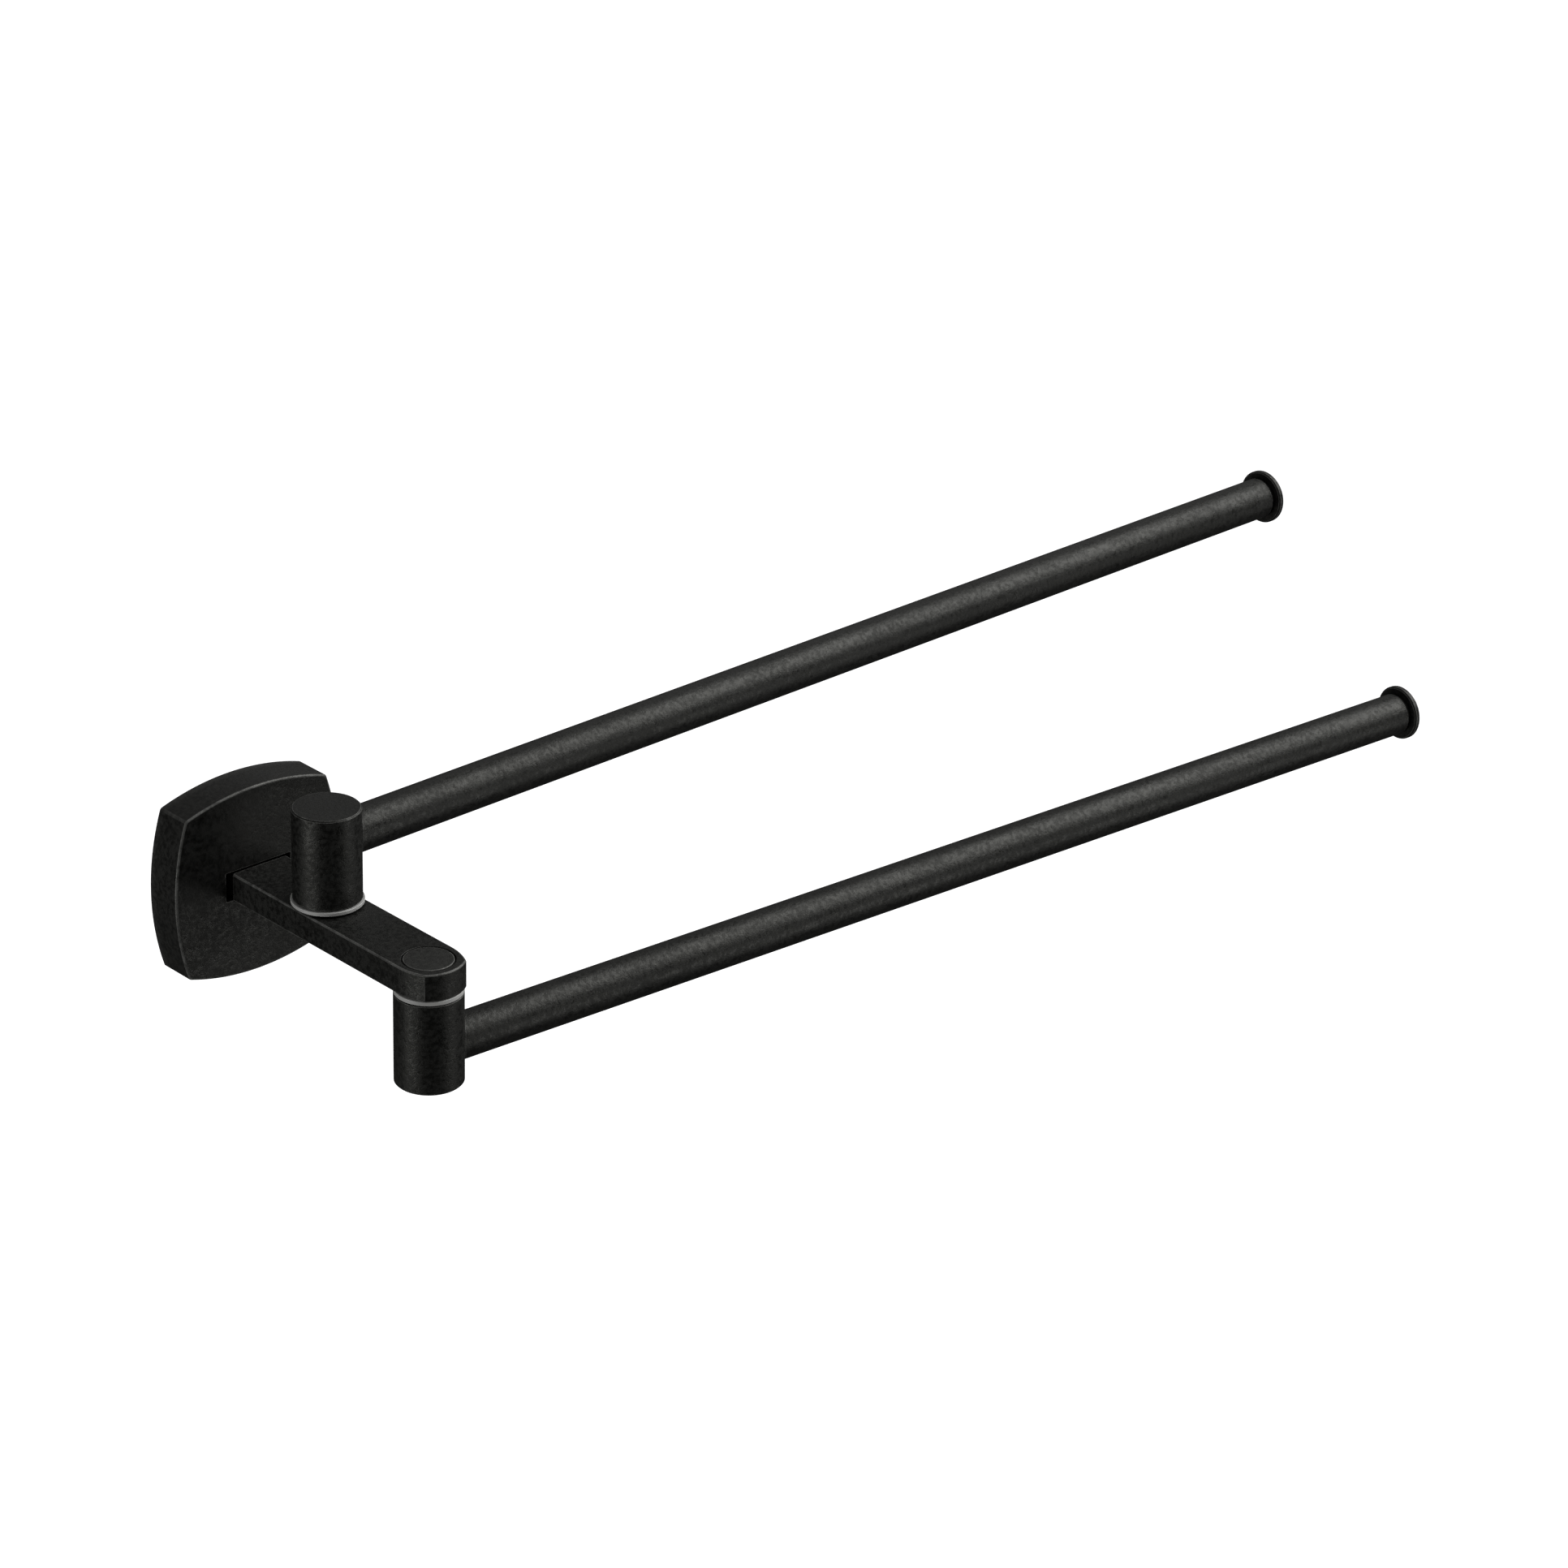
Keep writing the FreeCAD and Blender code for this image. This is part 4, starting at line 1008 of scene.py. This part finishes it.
def make_black_coat(name, dark, light, edge_wear_and_highlight, sheen, grain_depth, edge_source):
    """Colour from dark to light with grain and patches; on the edges, worn coat and a painted highlight."""
    material, tree, shader, place = new_material(name)
    grain = place_group(tree, "powder_grain", Vector=place, Per_Metre=GRAIN_PER_METRE)
    patch = place_group(tree, "patches", Vector=place, Per_Metre=PATCHES_PER_METRE)
    edge_mask = place_group(tree, "edge_wear_and_highlight_mask", Vector=place, Per_Metre=EDGE_BREAKS_PER_METRE, Edge=edge_source(tree))
    tone = weighted(tree, grain["Tone"], 0.6, patch["Tone"], 0.4)
    # The edge mask paints the colour towards the edge colour: worn coat and a painted highlight line.
    edge_wear_and_highlight_share = calculate(tree, "MULTIPLY", edge_mask["Mask"], EDGE_WEAR_AND_HIGHLIGHT_SHARE)
    colour = mix(tree, edge_wear_and_highlight_share, mix(tree, tone, dark, light), edge_wear_and_highlight)
    gloss = spread(tree, patch["Gloss"], 0.0, 1.0, *PATCH_ROUGHNESS)
    worn = calculate(tree, "SUBTRACT", gloss, calculate(tree, "MULTIPLY", edge_mask["Mask"], RUB_SMOOTHING))
    roughness = calculate(tree, "ADD", worn, spread(tree, grain["Tone"], 0.0, 1.0, *GRAIN_ROUGHNESS))
    connect(tree, shader, colour, roughness, grain["Height"], grain_depth)
    shader.inputs["Specular IOR Level"].default_value = sheen
    shader.inputs["Specular Tint"].default_value = (*COAT_TINT, 1.0)
    return material


def edge_attribute(tree):
    return add_node(tree, "ShaderNodeAttribute", attribute_name="edge").outputs["Fac"]


def edge_pointiness(tree):
    """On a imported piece, which has no edge attribute: how far its corners stand out from their
    neighbours."""
    pointiness = add_node(tree, "ShaderNodeNewGeometry").outputs["Pointiness"]
    return spread(tree, pointiness, 0.52, 0.62)


black_coat = make_black_coat("black_coat", (0.0025, 0.0025, 0.0023), (0.0180, 0.0180, 0.0170),
                             COAT_EDGE_WEAR_AND_HIGHLIGHT, COAT_SHEEN, 0.22 * MM, edge_attribute)
# Painted light: the caps' lighter colour paints them brighter than the arm's shaded top.
cap_coat_painted_light = make_black_coat("cap_coat_painted_light", (0.0060, 0.0060, 0.0055), (0.0240, 0.0240, 0.0226),
                           COAT_EDGE_WEAR_AND_HIGHLIGHT, 1.5 * COAT_SHEEN, 0.15 * MM, edge_attribute)
dark_cast = make_black_coat("dark_cast", (0.0060, 0.0060, 0.0058), (0.0130, 0.0130, 0.0125),
                            (0.030, 0.030, 0.029), COAT_SHEEN, 0.05 * MM, edge_pointiness)

# %% [markdown]
# ## Zinc-plated steel
# The screws, dowels, studs and the bracket are steel with a thin layer of zinc. It is bright but not
# polished, with a faint crystal pattern of a millimetre or two, duller patches and fine scratches from
# handling.

# %% Zinc-plated steel
ZINC_DARK = (0.46, 0.46, 0.45)
ZINC_LIGHT = (0.66, 0.66, 0.63)
ZINC_RUBBED = (0.74, 0.74, 0.72)
CRYSTALS_PER_METRE = 620.0
SCRATCHES_PER_METRE = 900.0
SCRATCH_STRETCH = (1.0, 0.35, 9.0)


def make_zinc_steel():
    """Crystals and patches vary the colour, patches and scratches the roughness."""
    material, tree, shader, place = new_material("zinc_steel")
    crystals = add_node(tree, "ShaderNodeTexVoronoi",
                        {"Vector": place, "Scale": CRYSTALS_PER_METRE, "Randomness": 1.0})
    crystal = spread(tree, crystals.outputs["Color"], 0.0, 1.0)
    patch = place_group(tree, "patches", Vector=place, Per_Metre=70.0)
    stretched = add_node(tree, "ShaderNodeMapping", {"Vector": place, "Scale": SCRATCH_STRETCH})
    lines = noise(tree, stretched.outputs["Vector"], SCRATCHES_PER_METRE, detail=3.0, roughness=0.7)
    scratches = spread(tree, lines, 0.56, 0.72)
    edge_mask = place_group(tree, "edge_wear_and_highlight_mask", Vector=place, Per_Metre=500.0, Edge=edge_pointiness(tree))
    tone = weighted(tree, crystal, 0.45, patch["Tone"], 0.55)
    colour = mix(tree, edge_mask["Mask"], mix(tree, tone, ZINC_DARK, ZINC_LIGHT), ZINC_RUBBED)
    roughness = calculate(tree, "ADD", spread(tree, patch["Gloss"], 0.0, 1.0, 0.26, 0.42),
                          calculate(tree, "MULTIPLY", scratches, 0.12))
    connect(tree, shader, colour, roughness, calculate(tree, "ADD", crystal, scratches), 0.003 * MM)
    shader.inputs["Metallic"].default_value = 1.0
    return material


zinc_steel = make_zinc_steel()

# %% [markdown]
# ## Acetal, pale and dark
# The washers are cut from pale grey acetal, a hard, slippery plastic, and the spacer and bushes from
# black. Both are slightly glossy, with faint cloudiness and the fine marks of the cutting tool.

# %% Acetal
CLOUDS_PER_METRE = 140.0
TOOL_MARKS_PER_METRE = 2200.0
TOOL_MARK_DEPTH = 0.006 * MM
NICKS_PER_METRE = 700.0
RUBBED_LIGHTER = 1.15
CLOUD_ROUGHNESS = 0.12


def make_acetal(name, dark, light, smoothest):
    """The roughness runs from its smoothest upwards with the clouds."""
    material, tree, shader, place = new_material(name)
    patch = place_group(tree, "patches", Vector=place, Per_Metre=CLOUDS_PER_METRE)
    grain = place_group(tree, "powder_grain", Vector=place, Per_Metre=TOOL_MARKS_PER_METRE)
    edge_mask = place_group(tree, "edge_wear_and_highlight_mask", Vector=place, Per_Metre=NICKS_PER_METRE,
                      Edge=edge_attribute(tree))
    lighter = tuple(RUBBED_LIGHTER * part for part in light)
    colour = mix(tree, calculate(tree, "MULTIPLY", edge_mask["Mask"], 0.5),
                 mix(tree, patch["Tone"], dark, light), lighter)
    roughness = spread(tree, patch["Gloss"], 0.0, 1.0, smoothest, smoothest + CLOUD_ROUGHNESS)
    connect(tree, shader, colour, roughness, grain["Height"], TOOL_MARK_DEPTH)
    return material


pale_washer = make_acetal("pale_washer", (0.48, 0.48, 0.47), (0.58, 0.58, 0.56), 0.38)
dark_acetal = make_acetal("dark_acetal", (0.014, 0.014, 0.014), (0.024, 0.024, 0.023), 0.34)

# %% [markdown]
# ## Handing out the finishes
# The imported record says which finish each imported piece has, and that finish fills the piece's own
# material slots; the bracket is one that still shows. The remade pieces are given theirs one group at a
# time: the black coat for most, the caps' lighter coat for the pivot discs, and acetal for the rings.

# %% Every piece gets its finish
FINISHES = {"black_coat": black_coat, "cap_coat_painted_light": cap_coat_painted_light, "dark_cast": dark_cast,
            "zinc_steel": zinc_steel, "pale_washer": pale_washer, "dark_acetal": dark_acetal}


def give_finish(piece, finish):
    """Fills the piece's material slots, and makes one first on a new piece, which has none."""
    if not piece.material_slots:
        piece.data.materials.append(None)
    for place in piece.material_slots:
        place.material = FINISHES[finish]


for subpart in frame["record"]["subparts"]:
    give_finish(nodes[subpart["node"]], subpart["material_slot"])
for piece in [*tubes, *end_plugs, *barrels, *fillets, arm, plate]:
    give_finish(piece, "black_coat")
for piece in pivot_discs:
    give_finish(piece, "cap_coat_painted_light")
for piece in pale_rings:
    give_finish(piece, "pale_washer")
give_finish(spacer, "dark_acetal")

# %% [markdown]
# # The studio
# The rack hangs as high above a pale floor as it would on a wall. A black object is hard to light: it
# shows little but reflections, and a floor that lights it from below turns it grey. So this floor glows
# for the camera, and is left out of the rack's reflections and bounced light.

# %% Floor
FLOOR_HEIGHT = -1.2
FLOOR_SIZE = 14.0
FLOOR_GLOW = 1.0


def make_floor():
    mesh = bpy.data.meshes.new("floor")
    half = FLOOR_SIZE / 2
    corners = [(-half, -half), (half, -half), (half, half), (-half, half)]
    mesh.from_pydata([(x, y, FLOOR_HEIGHT) for x, y in corners], [], [(0, 1, 2, 3)])
    floor = bpy.data.objects.new("floor", mesh)
    bpy.context.scene.collection.objects.link(floor)
    floor.visible_glossy = False
    floor.visible_diffuse = False
    material, tree, shader, place = new_material("floor")
    colour = mix(tree, noise(tree, place, 2.0), (0.86, 0.86, 0.86), (0.90, 0.90, 0.90))
    tree.links.new(colour, shader.inputs["Base Color"])
    shader.inputs["Roughness"].default_value = 0.9
    shader.inputs["Specular IOR Level"].default_value = 0.0
    shader.inputs["Emission Color"].default_value = (1.0, 1.0, 1.0, 1.0)
    shader.inputs["Emission Strength"].default_value = FLOOR_GLOW
    mesh.materials.append(material)


make_floor()

# %% [markdown]
# ## The sky
# A studio's room gives back a little light, more from the ceiling than from the sides. The world does
# the same here: its light fades from straight above down to the horizon. An even light would be simpler,
# but it brightens the far edges of every round piece, and those have to stay dark.

# %% World
WORLD_LIGHT_LOW = 0.04
WORLD_LIGHT_HIGH = 0.25


def make_world():
    """Soft light that fades from straight above to the horizon, by the height of each direction. The
    camera sees the same white as the floor behind the rack."""
    world = bpy.data.worlds.new("studio")
    world.use_nodes = True
    tree = world.node_tree
    direction = tree.nodes.new("ShaderNodeTexCoord").outputs["Generated"]
    height = add_node(tree, "ShaderNodeSeparateXYZ", {"Vector": direction}).outputs["Z"]
    strength = spread(tree, height, 0.0, 1.0, WORLD_LIGHT_LOW, WORLD_LIGHT_HIGH)
    seen = add_node(tree, "ShaderNodeBackground", {"Color": (1.0, 1.0, 1.0, 1.0), "Strength": 1.0})
    light = add_node(tree, "ShaderNodeBackground", {"Color": (1.0, 1.0, 1.0, 1.0), "Strength": strength})
    path = tree.nodes.new("ShaderNodeLightPath")
    both = tree.nodes.new("ShaderNodeMixShader")
    tree.links.new(path.outputs["Is Camera Ray"], both.inputs[0])
    tree.links.new(light.outputs[0], both.inputs[1])
    tree.links.new(seen.outputs[0], both.inputs[2])
    tree.links.new(both.outputs[0], tree.nodes["World Output"].inputs["Surface"])
    bpy.context.scene.world = world


make_world()

# %% [markdown]
# ## Four softboxes
# A black object is shaped by what it mirrors, so each lamp is a large soft square. A broad one, above
# and to the right, draws the long highlight along both bars. Two lower ones, to the left and to the
# front right, draw the two soft bands down each barrel, and a weak one behind lifts the arm's top a
# little. Each one has its place from the rack's middle, its side in metres and its power in watts.

# %% Softboxes
SOFTBOXES = {
    "overhead": ((1.05, -0.45, 1.1), 1.4, 24.0),
    "left": ((-1.9, 0.15, -0.4), 0.9, 8.5),
    "front": ((1.0, -1.7, -0.5), 0.9, 6.5),
    "back": ((1.1, 1.2, 0.75), 0.8, 0.45),
}


def softbox(name, place, aim, side, power):
    """A square area light that faces the aim."""
    light = bpy.data.lights.new(name, "AREA")
    light.shape = "SQUARE"
    light.size = side
    light.energy = power
    lamp = bpy.data.objects.new(name, light)
    lamp.location = place
    lamp.rotation_mode = "QUATERNION"
    lamp.rotation_quaternion = (Vector(aim) - Vector(place)).to_track_quat("-Z", "Y")
    lamp.visible_camera = False
    bpy.context.scene.collection.objects.link(lamp)


middle = (cad_low + cad_high) / 2
for name, (offset, side, power) in SOFTBOXES.items():
    softbox(name, middle + Vector(offset), middle, side, power)

# %% [markdown]
# ## The camera
# A long lens from far away keeps the bars nearly parallel. The camera looks down at the rack from its
# left, and is rolled very slightly. Its axes are written straight into its matrix: to its right, up,
# and backwards.

# %% Camera
CAMERA_PLACE = Vector((-0.96190, -1.30471, 0.78986))
CAMERA_YAW = math.radians(43.1594)
CAMERA_PITCH = math.radians(25.0934)
CAMERA_ROLL = math.radians(1.5441)
LENS = 118.337
SENSOR = 36.0


def make_camera():
    ahead = Vector((math.sin(CAMERA_YAW) * math.cos(CAMERA_PITCH),
                    math.cos(CAMERA_YAW) * math.cos(CAMERA_PITCH), -math.sin(CAMERA_PITCH)))
    level = Vector((math.cos(CAMERA_YAW), -math.sin(CAMERA_YAW), 0.0))
    steep = level.cross(ahead)
    right = level * math.cos(CAMERA_ROLL) + steep * math.sin(CAMERA_ROLL)
    above = steep * math.cos(CAMERA_ROLL) - level * math.sin(CAMERA_ROLL)
    data = bpy.data.cameras.new("camera")
    data.sensor_width = SENSOR
    data.lens = LENS
    data.clip_start, data.clip_end = 0.05, 50.0
    camera = bpy.data.objects.new("camera", data)
    facing = Matrix((right, above, -ahead)).transposed().to_4x4()
    camera.matrix_world = Matrix.Translation(CAMERA_PLACE) @ facing
    bpy.context.scene.collection.objects.link(camera)
    bpy.context.scene.camera = camera


make_camera()
bpy.context.scene.view_settings.view_transform = "Standard"
